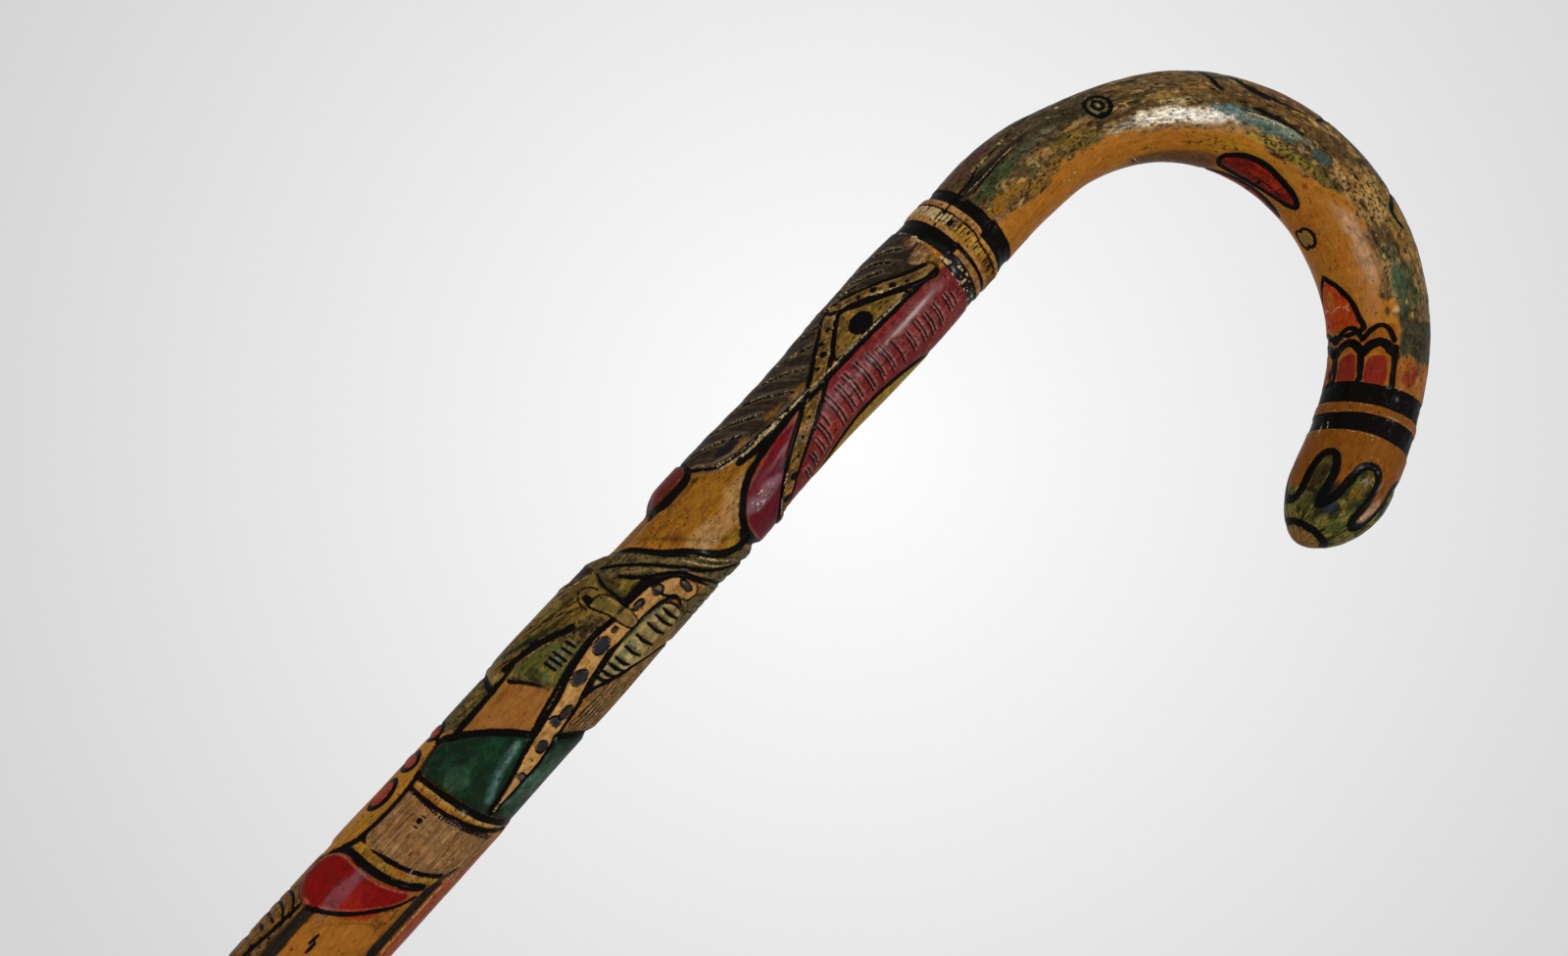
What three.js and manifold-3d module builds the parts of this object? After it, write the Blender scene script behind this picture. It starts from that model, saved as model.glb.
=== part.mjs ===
// A carved walking stick: one length of wood, bent into a crook at the top and carved in low relief
// below it, with a brass ferrule and a rubber tip at its foot.
// Millimetres and degrees. +Z runs up the shaft, the origin is the middle of the tip's flat sole, and
// the crook turns toward +X. "Around" is 0 on the -Y flank, 90 on the inside of the crook, -90 outside.
import * as THREE from 'three';
import { mergeVertices } from 'three/addons/utils/BufferGeometryUtils.js';
import Module from 'manifold-3d';

const { clamp, degToRad, radToDeg, smoothstep } = THREE.MathUtils;
const wasm = await Module();
wasm.setup();

// Bend of the wood
const bendStartHeight = 816;
const shoulderArc = { radius: 86, turn: 31.4 };
const crownArc = { radius: 54.2, turn: 119 };
const tailArc = { radius: 100, turn: 29.7 };
const stockRadius = 13.4;
const crookEndLength = 20.5;
const crookEndRoundness = { run: 1.8, fall: 0.6 };
const crookEndLean = 1.6;

// Carving
const neckBelowBend = 8.7;
const pictureLength = 200;
const reliefHeight = 1.2;
const reliefEdge = 1.1;
const ringGroove = { width: 1.5, depth: 0.5 };
const neckBead = { below: 6, width: 6.6, height: 0.35, edge: 0.8 };
const neckBandLength = 17;
const serpent = { length: 320, pitch: 96, width: 17, height: 1.1, gapBelowPictures: 42 };

// Foot
const clearance = 0.3;
const overrun = 1;
const ferrule = { aboveTip: 17.1, radius: 10.9, wall: 0.8 };
const washer = { radius: 9.5, bore: 3, thickness: 1.2 };
const tip = { height: 42, soleRadius: 18, soleThickness: 11, waistRadius: 13, bead: 1.2 };
const nail = { shankRadius: 0.9, length: 7, headRadius: 2.1, headHeight: 0.9, belowShoulder: 8 };
const nailHeadShares = [[1, 0], [0.8, 0.65], [0.4, 0.95], [0, 1]];

// How fine the faces are
const woodSides = 30;
const roundSides = 32;
const nailSides = 12;
const crookEndRings = 9;
const ringSteps = { neck: 1.25, pictures: 2.75, crook: 5.6, serpent: 9.2, plain: 22 };

// Girth along the wood: [share of the run, share of the stock's radius]
const shaftGirthShares = [
  [0, 0.815], [0.2, 0.85], [0.5, 0.94], [0.72, 0.99], [0.79, 0.985], [0.812, 0.99], [0.837, 0.965],
  [0.88, 0.955], [0.902, 0.915], [0.918, 0.925], [0.936, 0.97], [0.96, 0.998], [0.975, 0.96],
  [0.984, 0.95], [1, 0.94],
];
const crookGirthShares = [
  [0, 0.94], [0.055, 0.918], [0.13, 0.827], [0.2, 0.823], [0.3, 0.884], [0.41, 0.949],
  [0.53, 0.984], [0.6, 0.996], [0.66, 0.979], [0.74, 0.948], [0.8, 0.946], [0.88, 0.966], [1, 0.966],
];

// Ring cuts round the shaft, as shares of the picture length below the neck
const ringGrooveShares = [-0.008, 0.012, 0.05, 0.077, 0.908, 0.935, 1.003, 1.03, 1.2, 1.225];

// Carved forms on one flank: outlines as [share of the picture length, degrees around]
const carvedForms = [
  {
    name: 'wing feathers',
    heightShare: -0.2,
    outlineShares: [
      [0.085, -18], [0.15, -30], [0.2, -60], [0.26, -34], [0.3, -20], [0.38, -24], [0.44, -40],
      [0.465, -75], [0.465, -120], [0.25, -130], [0.085, -120],
    ],
  },
  {
    name: 'round spot panel',
    heightShare: 0.25,
    outlineShares: [[0.12, -12], [0.16, -24], [0.2, -52], [0.25, -30], [0.26, -16], [0.18, -12]],
  },
  {
    name: 'crossing strap',
    heightShare: 0.5,
    outlineShares: [
      [0.19, -78], [0.25, -42], [0.3, -14], [0.36, 12], [0.39, 44], [0.41, 68], [0.44, 60],
      [0.425, 38], [0.39, 16], [0.33, -10], [0.28, -38], [0.22, -78],
    ],
  },
  {
    name: 'hatched field',
    heightShare: 0.2,
    outlineShares: [[0.1, -4], [0.29, -8], [0.35, 14], [0.36, 44], [0.28, 50], [0.18, 58], [0.09, 58]],
  },
  {
    name: 'leaf under the field',
    heightShare: 0.15,
    outlineShares: [[0.17, 82], [0.22, 62], [0.28, 56], [0.35, 64], [0.37, 84], [0.27, 110]],
  },
  {
    name: 'tongue',
    heightShare: 0.45,
    outlineShares: [
      [0.33, -12], [0.39, -8], [0.44, 4], [0.475, 24], [0.485, 50], [0.48, 84], [0.45, 88],
      [0.43, 66], [0.4, 36], [0.36, 8],
    ],
  },
  {
    name: 'lump',
    heightShare: 0.15,
    outlineShares: [[0.475, -52], [0.515, -50], [0.53, -60], [0.525, -76], [0.52, -120], [0.475, -120]],
  },
  {
    name: 'waist',
    heightShare: -1.7,
    outlineShares: [[0.62, -70], [0.59, -52], [0.54, -50], [0.532, -72], [0.525, -120], [0.62, -120]],
  },
  {
    name: 'open field',
    heightShare: -0.85,
    outlineShares: [
      [0.6, -72], [0.57, -34], [0.53, 14], [0.495, 44], [0.485, 40], [0.475, 24], [0.43, 0],
      [0.4, -16], [0.45, -36], [0.48, -50], [0.55, -52], [0.56, -110], [0.6, -110],
    ],
  },
  {
    name: 'twin sweep',
    heightShare: 0.3,
    outlineShares: [
      [0.64, -110], [0.61, -74], [0.58, -36], [0.54, 14], [0.5, 54], [0.485, 84], [0.52, 84],
      [0.55, 52], [0.58, 14], [0.61, -26], [0.64, -60], [0.675, -110],
    ],
  },
  {
    name: 'bird',
    heightShare: 0.45,
    outlineShares: [
      [0.83, -110], [0.81, -62], [0.775, -54], [0.73, -46], [0.69, -30], [0.66, -4], [0.64, 4],
      [0.635, -22], [0.64, -48], [0.67, -70], [0.68, -110],
    ],
  },
  {
    name: 'spotted snake',
    heightShare: 0.35,
    outlineShares: [
      [0.56, 62], [0.57, 24], [0.6, 6], [0.65, 0], [0.72, 0], [0.79, 12], [0.84, 24], [0.89, 34],
      [0.84, 34], [0.77, 26], [0.71, 14], [0.65, 10], [0.62, 16], [0.6, 36], [0.6, 62],
    ],
  },
  {
    name: 'coiled belly',
    heightShare: 0.1,
    outlineShares: [[0.6, 34], [0.62, 20], [0.67, 14], [0.72, 22], [0.7, 40], [0.65, 56], [0.61, 54]],
  },
  {
    name: 'tan panel',
    heightShare: -0.35,
    outlineShares: [[0.86, -40], [0.79, -42], [0.77, -28], [0.765, -4], [0.81, 2], [0.84, -18]],
  },
  {
    name: 'green panel',
    heightShare: -0.25,
    outlineShares: [[0.92, -48], [0.88, -54], [0.86, -36], [0.82, 0], [0.86, 20], [0.905, 30]],
  },
  {
    name: 'ribbed band',
    heightShare: 0.2,
    outlineShares: [[0.94, -42], [0.94, 40], [0.92, 110], [1.0, 110], [0.99, 40], [1.0, -42]],
  },
  {
    name: 'spot strip',
    heightShare: -0.2,
    outlineShares: [[0.9, -60], [0.97, -50], [1.03, -56], [1.05, -74], [1.0, -110], [0.9, -110]],
  },
  {
    name: 'inner strip',
    heightShare: 0.6,
    outlineShares: [[0.98, 90], [1.02, 62], [1.1, 56], [1.17, 60], [1.19, 90], [1.08, 110]],
  },
  {
    name: 'outer strip',
    heightShare: -0.6,
    outlineShares: [[1.02, -78], [1.06, -70], [1.12, -58], [1.19, -54], [1.19, -110], [1.02, -110]],
  },
  {
    name: 'dome leaf',
    heightShare: 0.55,
    outlineShares: [
      [1.03, -66], [1.06, -76], [1.09, -66], [1.1, -44], [1.08, -16], [1.05, 10], [1.01, 36],
      [1.03, 0],
    ],
  },
  {
    name: 'lower tan panel',
    heightShare: -0.25,
    outlineShares: [[1.11, -22], [1.06, 22], [1.1, 34], [1.19, 30], [1.19, -30]],
  },
];

const neckHeight = bendStartHeight - neckBelowBend;
const woodEndHeight = tip.soleThickness + washer.thickness + 2 * clearance;
const shoulderHeight = tip.height + ferrule.aboveTip;
const crookArcs = [shoulderArc, crownArc, tailArc];
const crookLength = crookArcs.reduce((length, { radius, turn }) => length + radius * degToRad(turn), 0);
const crookEnd = bendStartHeight + crookLength;

// The wood's centre line: a point and a heading at a distance from the floor, measured along the wood
function centreLine(distance) {
  const place = { x: 0, z: Math.min(distance, bendStartHeight), heading: 0 };
  let left = distance - bendStartHeight;
  for (const { radius, turn } of crookArcs) {
    if (left <= 0) break;
    const swept = Math.min(left / radius, degToRad(turn));
    const after = place.heading + swept;
    place.x += radius * (Math.cos(place.heading) - Math.cos(after));
    place.z += radius * (Math.sin(after) - Math.sin(place.heading));
    place.heading = after;
    left -= radius * swept;
  }
  return place;
}

// A smooth curve through a table of [share, share], read at one share of its run
function readTable(tableShares, share) {
  const last = tableShares.length - 1;
  let index = 0;
  while (index < last - 1 && share > tableShares[index + 1][0]) index += 1;
  const pick = (i) => tableShares[clamp(i, 0, last)];
  const [start, end] = [pick(index), pick(index + 1)];
  const span = end[0] - start[0];
  const slope = (i) => {
    const run = pick(i + 1)[0] - pick(i - 1)[0];
    return run ? (pick(i + 1)[1] - pick(i - 1)[1]) / run : 0;
  };
  const t = clamp((share - start[0]) / span, 0, 1);
  const [t2, t3] = [t * t, t * t * t];
  return (2 * t3 - 3 * t2 + 1) * start[1] + (t3 - 2 * t2 + t) * span * slope(index)
    + (3 * t2 - 2 * t3) * end[1] + (t3 - t2) * span * slope(index + 1);
}

function intoCrookEnd(distance) {
  return Math.max(0, distance - (crookEnd - crookEndLength)) / crookEndLength;
}

function girth(distance) {
  if (distance <= bendStartHeight) {
    return stockRadius * readTable(shaftGirthShares, distance / bendStartHeight);
  }
  const full = stockRadius * readTable(crookGirthShares, (distance - bendStartHeight) / crookLength);
  const { run, fall } = crookEndRoundness;
  return full * Math.max(0, 1 - intoCrookEnd(distance) ** run) ** fall;
}

// How far the rounded end leans to the inside of the crook
function lean(distance) {
  return crookEndLean * intoCrookEnd(distance) ** 2;
}

// Turns outlines written in shares into closed curves on the unrolled surface, in millimetres
function unrolled(around) {
  return stockRadius * degToRad(around);
}

function carvedRim({ outlineShares }) {
  const corners = outlineShares.map(
    ([down, around]) => new THREE.Vector3(down * pictureLength, unrolled(around), 0),
  );
  return new THREE.CatmullRomCurve3(corners, true, 'centripetal').getPoints(4 * corners.length);
}

const carvings = carvedForms.map((form) => ({ ...form, rim: carvedRim(form) }));

// Distance from a point to a closed rim, positive inside it
function depthInside(rim, x, y) {
  let nearest = Infinity;
  let inside = false;
  for (let i = 0; i + 1 < rim.length; i += 1) {
    const [a, b] = [rim[i], rim[i + 1]];
    const [dx, dy] = [b.x - a.x, b.y - a.y];
    const along = clamp(((x - a.x) * dx + (y - a.y) * dy) / (dx * dx + dy * dy), 0, 1);
    nearest = Math.min(nearest, Math.hypot(x - a.x - along * dx, y - a.y - along * dy));
    if ((a.y > y) !== (b.y > y) && x < a.x + ((y - a.y) / dy) * dx) inside = !inside;
  }
  return inside ? nearest : -nearest;
}

// The pictures are the same on both flanks, so a place on the far flank reads its mirror image
function pictureRelief(down, around) {
  const turned = degToRad(around);
  const mirrored = radToDeg(Math.atan2(Math.sin(turned), Math.abs(Math.cos(turned))));
  return carvings.reduce((height, { rim, heightShare }) => {
    const depth = depthInside(rim, down, unrolled(mirrored));
    return height + reliefHeight * heightShare * smoothstep(depth, -reliefEdge, reliefEdge);
  }, 0);
}

// A serpent in relief that winds round the shaft below the pictures, thinning at both ends
function serpentRelief(down, around) {
  const start = pictureLength + serpent.gapBelowPictures;
  const share = (down - start) / serpent.length;
  if (share <= 0 || share >= 1) return 0;
  const turns = down / serpent.pitch - around / 360;
  const offset = (turns - Math.round(turns)) * serpent.pitch;
  const thickness = Math.sqrt(Math.sin(Math.PI * share));
  const across = Math.abs(offset) / (serpent.width / 2 * thickness);
  return across < 1 ? serpent.height * thickness * Math.sqrt(1 - across * across) : 0;
}

function ringRelief(down) {
  const offset = Math.abs(down - neckBead.below) - neckBead.width / 2;
  const bead = neckBead.height * smoothstep(-offset, -neckBead.edge, neckBead.edge);
  return ringGrooveShares.reduce((height, share) => {
    const near = Math.abs(down - share * pictureLength) / ringGroove.width;
    return height - ringGroove.depth * Math.max(0, 1 - near);
  }, bead);
}

function woodRadius(distance, around) {
  const down = neckHeight - distance;
  const carved = distance < bendStartHeight
    ? ringRelief(down) + pictureRelief(down, around) + serpentRelief(down, around)
    : 0;
  return girth(distance) + carved;
}

// Where the rings of the wood's surface lie: close together where it is carved
function ringDistances() {
  const serpentEnd = neckHeight - pictureLength - serpent.gapBelowPictures - serpent.length;
  const picturesEnd = neckHeight - pictureLength - serpent.gapBelowPictures;
  const runs = [
    [shoulderHeight, serpentEnd, ringSteps.plain],
    [serpentEnd, picturesEnd, ringSteps.serpent],
    [picturesEnd, neckHeight - neckBandLength, ringSteps.pictures],
    [neckHeight - neckBandLength, bendStartHeight, ringSteps.neck],
    [bendStartHeight, crookEnd - crookEndLength, ringSteps.crook],
  ];
  const distances = runs.flatMap(([from, to, step]) => {
    const count = Math.ceil((to - from) / step);
    return Array.from({ length: count }, (_, i) => from + ((to - from) * i) / count);
  });
  for (let i = 0; i < crookEndRings; i += 1) {
    const quarterTurn = (Math.PI / 2) * (i / crookEndRings);
    distances.push(crookEnd - crookEndLength * (1 - Math.sin(quarterTurn)));
  }
  return distances;
}

// One closed surface: a ring of corners at each distance, joined ring to ring and capped at both ends
function woodSurface() {
  const tenonRadius = ferrule.radius - ferrule.wall - clearance;
  const rings = [
    { distance: woodEndHeight, radiusAt: () => tenonRadius },
    { distance: shoulderHeight, radiusAt: () => tenonRadius },
    { distance: shoulderHeight, radiusAt: () => ferrule.radius },
  ];
  for (const distance of ringDistances().slice(1)) {
    rings.push({ distance, radiusAt: (around) => woodRadius(distance, around) });
  }
  const corners = [];
  for (const { distance, radiusAt } of rings) {
    const { x, z, heading } = centreLine(distance);
    const leaning = lean(distance);
    for (let side = 0; side < woodSides; side += 1) {
      const around = (360 * side) / woodSides;
      const turned = degToRad(around);
      const inward = leaning + radiusAt(around) * Math.sin(turned);
      const flank = -radiusAt(around) * Math.cos(turned);
      corners.push(x + inward * Math.cos(heading), flank, z - inward * Math.sin(heading));
    }
  }
  const faces = [];
  for (let ring = 0; ring + 1 < rings.length; ring += 1) {
    for (let side = 0; side < woodSides; side += 1) {
      const next = (side + 1) % woodSides;
      const [a, b] = [ring * woodSides + side, ring * woodSides + next];
      const [c, d] = [a + woodSides, b + woodSides];
      faces.push(a, b, d, a, d, c);
    }
  }
  const foot = corners.length / 3;
  const crown = foot + 1;
  const end = centreLine(crookEnd);
  const [endX, endZ] = [
    end.x + crookEndLean * Math.cos(end.heading), end.z - crookEndLean * Math.sin(end.heading),
  ];
  corners.push(0, 0, woodEndHeight, endX, 0, endZ);
  const lastRing = (rings.length - 1) * woodSides;
  for (let side = 0; side < woodSides; side += 1) {
    const next = (side + 1) % woodSides;
    faces.push(foot, next, side, crown, lastRing + side, lastRing + next);
  }
  const geometry = new THREE.BufferGeometry();
  geometry.setAttribute('position', new THREE.Float32BufferAttribute(corners, 3));
  geometry.setIndex(faces);
  return geometry;
}

// Booleans
function toSolid(geometry) {
  const bare = geometry.clone();
  bare.deleteAttribute('normal');
  bare.deleteAttribute('uv');
  const merged = mergeVertices(bare);
  return new wasm.Manifold(new wasm.Mesh({
    numProp: 3,
    vertProperties: new Float32Array(merged.attributes.position.array),
    triVerts: new Uint32Array(merged.index.array),
  }));
}

function toGeometry(solid) {
  const mesh = solid.getMesh();
  const geometry = new THREE.BufferGeometry();
  geometry.setAttribute('position', new THREE.BufferAttribute(new Float32Array(mesh.vertProperties), 3));
  geometry.setIndex(new THREE.BufferAttribute(new Uint32Array(mesh.triVerts), 1));
  return geometry;
}

// A turned shape from [radius, height] points that close on themselves or start and end on the axis
function turned(profile, sides = roundSides) {
  const points = profile.map(([radius, height]) => new THREE.Vector2(radius, height));
  return new THREE.LatheGeometry(points, sides).rotateX(Math.PI / 2);
}

function closed(profile) {
  return [...profile, profile[0]];
}

const nailHeight = shoulderHeight - nail.belowShoulder;
const nailSeat = ferrule.radius + clearance;
const nailFlanks = [{ name: 'front', outward: -1 }, { name: 'back', outward: 1 }];

function drillNailHoles(geometry) {
  const holeRadius = nail.shankRadius + clearance;
  const holeLength = 2 * (ferrule.radius + overrun);
  const innerLength = 2 * (nailSeat - nail.length - clearance);
  const bar = (radius, length) => new THREE.CylinderGeometry(radius, radius, length, nailSides)
    .translate(0, 0, nailHeight);
  const across = bar(holeRadius, holeLength);
  const core = bar(ferrule.radius, innerLength);
  const holes = toSolid(across).subtract(toSolid(core));
  return toGeometry(toSolid(geometry).subtract(holes));
}

function ferruleShape() {
  const inner = ferrule.radius - ferrule.wall;
  const [low, high] = [woodEndHeight, shoulderHeight - clearance];
  return turned(closed([[inner, low], [ferrule.radius, low], [ferrule.radius, high], [inner, high]]));
}

function nailShape(outward) {
  const pointLength = 2 * nail.shankRadius;
  const head = nailHeadShares.map(([out, up]) => [nail.headRadius * out, nail.headHeight * up]);
  const shank = [[0, -nail.length], [nail.shankRadius, pointLength - nail.length], [nail.shankRadius, 0]];
  const turnDown = outward < 0 ? Math.PI / 2 : -Math.PI / 2;
  return turned([...shank, ...head], nailSides).rotateX(turnDown).translate(0, outward * nailSeat, 0);
}

function washerShape() {
  const low = tip.soleThickness + clearance;
  const high = low + washer.thickness;
  const { bore, radius } = washer;
  return turned(closed([[bore, low], [radius, low], [radius, high], [bore, high]]));
}

// The rubber tip: a flared sole, a waist and a rolled rim, with a blind socket for the ferrule
function tipShape() {
  const { height, soleRadius, soleThickness, waistRadius, bead } = tip;
  const socket = ferrule.radius + clearance;
  const soleEdge = soleThickness / 2;
  const flareRadius = (soleRadius + waistRadius) / 2;
  const rimRadius = waistRadius + bead;
  const rimLow = height - 3 * bead;
  return turned([
    [0, 0], [soleRadius - bead, 0], [soleRadius, bead], [soleRadius, soleEdge],
    [flareRadius, soleThickness], [rimRadius, soleThickness + soleEdge],
    [waistRadius, 2 * soleThickness], [waistRadius, rimLow - bead],
    [rimRadius, rimLow], [rimRadius, height - bead], [rimRadius - bead / 2, height],
    [socket + bead / 2, height], [socket, height - bead / 2], [socket, soleThickness], [0, soleThickness],
  ]);
}

function material(color, roughness, metalness = 0) {
  return new THREE.MeshStandardMaterial({ color, roughness, metalness });
}

const varnishedWood = material('#a5702f', 0.38);
const brass = material('#b08d4a', 0.35, 1);
const steel = material('#8d9094', 0.4, 1);
const rubber = material('#2a2826', 0.8);

function piece(name, geometry, finish) {
  const mesh = new THREE.Mesh(geometry, finish);
  mesh.name = name;
  return mesh;
}

const walkingStick = new THREE.Group();
walkingStick.add(piece('carved_stick', drillNailHoles(woodSurface()), varnishedWood));
walkingStick.add(piece('ferrule', drillNailHoles(ferruleShape()), brass));
for (const { name, outward } of nailFlanks) {
  const oneNail = piece(`ferrule_nail_${name}`, nailShape(outward), brass);
  oneNail.position.z = nailHeight;
  walkingStick.add(oneNail);
}
walkingStick.add(piece('tip_washer', washerShape(), steel));
walkingStick.add(piece('rubber_tip', tipShape(), rubber));

export default walkingStick;
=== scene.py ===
# %% [markdown]
# # A carved and painted walking stick
# This lesson dresses a walking stick that was bent from one length of wood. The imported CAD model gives
# every size and place. Here the wood gets its carving, paint, wear and varnish, and the foot gets its
# brass and rubber. Run the cells in order. Lengths in the tables are millimetres, angles are degrees,
# and Blender itself works in metres.

import math

import bpy
import numpy as np
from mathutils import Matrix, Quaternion, Vector


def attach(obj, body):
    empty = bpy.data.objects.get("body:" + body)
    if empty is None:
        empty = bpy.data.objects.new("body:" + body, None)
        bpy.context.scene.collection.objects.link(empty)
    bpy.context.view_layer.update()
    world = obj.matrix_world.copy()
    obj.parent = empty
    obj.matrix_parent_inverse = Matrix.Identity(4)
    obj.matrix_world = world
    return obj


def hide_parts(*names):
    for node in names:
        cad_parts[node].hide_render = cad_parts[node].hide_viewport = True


MM = 0.001
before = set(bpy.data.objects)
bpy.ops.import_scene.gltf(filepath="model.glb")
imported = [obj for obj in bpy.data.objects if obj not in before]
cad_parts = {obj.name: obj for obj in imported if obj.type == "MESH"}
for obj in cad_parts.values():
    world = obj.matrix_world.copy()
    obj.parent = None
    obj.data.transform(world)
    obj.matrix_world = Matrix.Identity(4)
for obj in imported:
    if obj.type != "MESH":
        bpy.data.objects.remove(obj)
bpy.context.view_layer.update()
print("CAD nodes:", sorted(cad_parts))


def add_object(name, data):
    """Puts an object with this data into the scene."""
    made = bpy.data.objects.new(name, data)
    bpy.context.scene.collection.objects.link(made)
    return made

# %% [markdown]
# ## The camera
# The photograph was taken close to the crook with the camera rolled, so the upright shaft runs
# across the picture's corner. A heading, a tilt and a roll say that plainly: the camera first looks
# along its heading and is then turned about its own line of sight.

# %% Camera
EYE = Vector((-0.033608, -0.365811, 0.640850))
HEADING, TILT, ROLL = math.radians(6.395), math.radians(13.40), math.radians(41.98)

sight = Vector((math.sin(HEADING) * math.cos(TILT), math.cos(HEADING) * math.cos(TILT), math.sin(TILT)))
camera_data = bpy.data.cameras.new("camera")
camera_data.lens, camera_data.sensor_width = 36.45, 36.0
camera_data.clip_start = 0.01
camera = add_object("camera", camera_data)
camera.rotation_mode = "QUATERNION"
camera.location = EYE
camera.rotation_quaternion = sight.to_track_quat("-Z", "Y") @ Quaternion((0, 0, 1), ROLL)
bpy.context.scene.camera = camera
bpy.context.scene.view_settings.view_transform = "Standard"
camera_up = camera.rotation_quaternion @ Vector((0, 1, 0))
camera_right = camera.rotation_quaternion @ Vector((1, 0, 0))
print("camera looks along", [round(c, 3) for c in sight])

# %% [markdown]
# ## Shader maths
# A finish is a net of nodes. Written by hand it takes four lines a node, so one small class holds a
# node's output and turns Python sums into Math nodes, and another adds any node in one call.

# %% A node's output
class Wire:
    """A node's output. Sums and products with numbers or other wires add Math nodes."""

    def __init__(self, net, socket):
        self.net, self.socket = net, socket

    def __add__(self, other):
        return self.net.maths("ADD", self, other)

    def __sub__(self, other):
        return self.net.maths("SUBTRACT", self, other)

    def __rsub__(self, other):
        return self.net.maths("SUBTRACT", other, self)

    def __mul__(self, other):
        return self.net.maths("MULTIPLY", self, other)

    __radd__, __rmul__ = __add__, __mul__


print("helper:", Wire.__name__)

# %% A net of nodes
class Net:
    """The nodes of one material or of the world."""

    def __init__(self, owner):
        owner.use_nodes = True
        self.tree = owner.node_tree
        self.tree.nodes.clear()

    def node(self, kind, settings=None, inputs=None, output=0):
        """Adds a node. Settings are its own choices; inputs are numbers, colours or wires for its sockets."""
        made = self.tree.nodes.new(kind)
        for name, value in (settings or {}).items():
            setattr(made, name, value)
        for name, value in (inputs or {}).items():
            if isinstance(value, Wire):
                self.tree.links.new(value.socket, made.inputs[name])
            else:
                made.inputs[name].default_value = value
        return Wire(self, made.outputs[output]) if made.outputs else made

    def maths(self, operation, first, second):
        return self.node("ShaderNodeMath", {"operation": operation}, {0: first, 1: second})

    def step(self, value, low, high):
        """0 up to low, 1 from high on, and a smooth rise between them."""
        ends = {"Value": value, "From Min": low, "From Max": high}
        return self.node("ShaderNodeMapRange", {"interpolation_type": "SMOOTHSTEP"}, ends)

    def mix(self, first, second, share, blend="MIX"):
        """The first colour with the second one over it, as far as share says."""
        settings = {"data_type": "RGBA", "blend_type": blend, "clamp_factor": True}
        return self.node("ShaderNodeMix", settings, {0: share, 6: first, 7: second}, output=2)

    def read(self, name, output="Fac"):
        """A layer that is stored on the mesh's corners."""
        return self.node("ShaderNodeAttribute", {"attribute_name": name}, output=output)

    def noise(self, place, scale, detail, rough):
        inputs = {"Vector": place, "Scale": scale, "Detail": detail, "Roughness": rough}
        return self.node("ShaderNodeTexNoise", {}, inputs)

    def stretch(self, place, across, along):
        """The place scaled across and along the wood, so that a pattern gets longer or shorter."""
        settings = {"operation": "MULTIPLY"}
        return self.node("ShaderNodeVectorMath", settings, {0: place, 1: (across, across, along)})


print("helper:", Net.__name__)

# %% Colours
def linear(code):
    """A '#rrggbb' colour as Blender's linear numbers."""
    parts = np.array([int(code[i:i + 2], 16) for i in (1, 3, 5)]) / 255
    return np.where(parts <= 0.04045, parts / 12.92, ((parts + 0.055) / 1.055) ** 2.4)


def opaque(code):
    """The same colour with full alpha, as a node's input takes it."""
    return (*linear(code), 1.0)


print("near black in linear numbers:", linear("#16130f").round(4))

# %% [markdown]
# ## Light and backdrop
# The stick is shown against a pale sweep that is white behind it and grey towards the corners. The
# sweep is the world's colour as the camera sees it, as varnish and brass mirror it and as anything
# clear would show it. What lights the wood is a weaker, even world and soft lamps, two near the camera
# and a fainter one behind, so that paint shows its own colour from all sides and varnish a narrow
# streak.

# %% World
world = bpy.data.worlds.new("pale_sweep")
bpy.context.scene.world = world
net = Net(world)
direction = net.node("ShaderNodeTexCoord", output="Generated")
brightest = (sight + 0.036 * camera_right + 0.026 * camera_up).normalized()
GREY_PER_RADIAN = 1.8
toward = net.node("ShaderNodeVectorMath", {"operation": "DOT_PRODUCT"},
                  {0: direction, 1: tuple(brightest)}, output="Value")
turned_away = net.maths("ARCCOSINE", toward, 0)
sweep = net.mix(opaque("#ffffff"), opaque("#d4d4d5"), turned_away * GREY_PER_RADIAN)
rays = net.node("ShaderNodeLightPath", output="Is Camera Ray")
for kind in ("Is Glossy Ray", "Is Transmission Ray"):
    rays = net.maths("MAXIMUM", rays, net.node("ShaderNodeLightPath", output=kind))
seen = net.mix(opaque("#bababa"), sweep, rays)
background = net.node("ShaderNodeBackground", {}, {"Color": seen, "Strength": 1.0})
net.node("ShaderNodeOutputWorld", {}, {"Surface": background})
print("world nodes:", len(net.tree.nodes))

# %% Lamps
HANDLE_MIDDLE = Vector((0.03, 0, 0.80))


def lamp(name, place, size, power):
    """A round soft lamp that faces the middle of the handle."""
    data = bpy.data.lights.new(name, "AREA")
    data.shape, data.size, data.energy = "DISK", size, power
    made = add_object(name, data)
    made.location = place
    made.rotation_mode = "QUATERNION"
    made.rotation_quaternion = (HANDLE_MIDDLE - place).to_track_quat("-Z", "Y")
    return made


window = HANDLE_MIDDLE - 0.58 * sight + 0.56 * camera_right + 0.02 * camera_up
over_left = HANDLE_MIDDLE - 0.80 * sight - 0.30 * camera_right + 0.42 * camera_up
behind = HANDLE_MIDDLE + Vector((0.15, 0.95, 0.25))
lamp("window_lamp", window, 0.10, 2.3)
soft_lamp = lamp("soft_lamp", over_left, 0.60, 3.3)
back_lamp = lamp("back_lamp", behind, 0.60, 2.6)
for made in (soft_lamp, back_lamp):
    made.visible_glossy = False
print("lamps:", len(bpy.data.lights))

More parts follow.
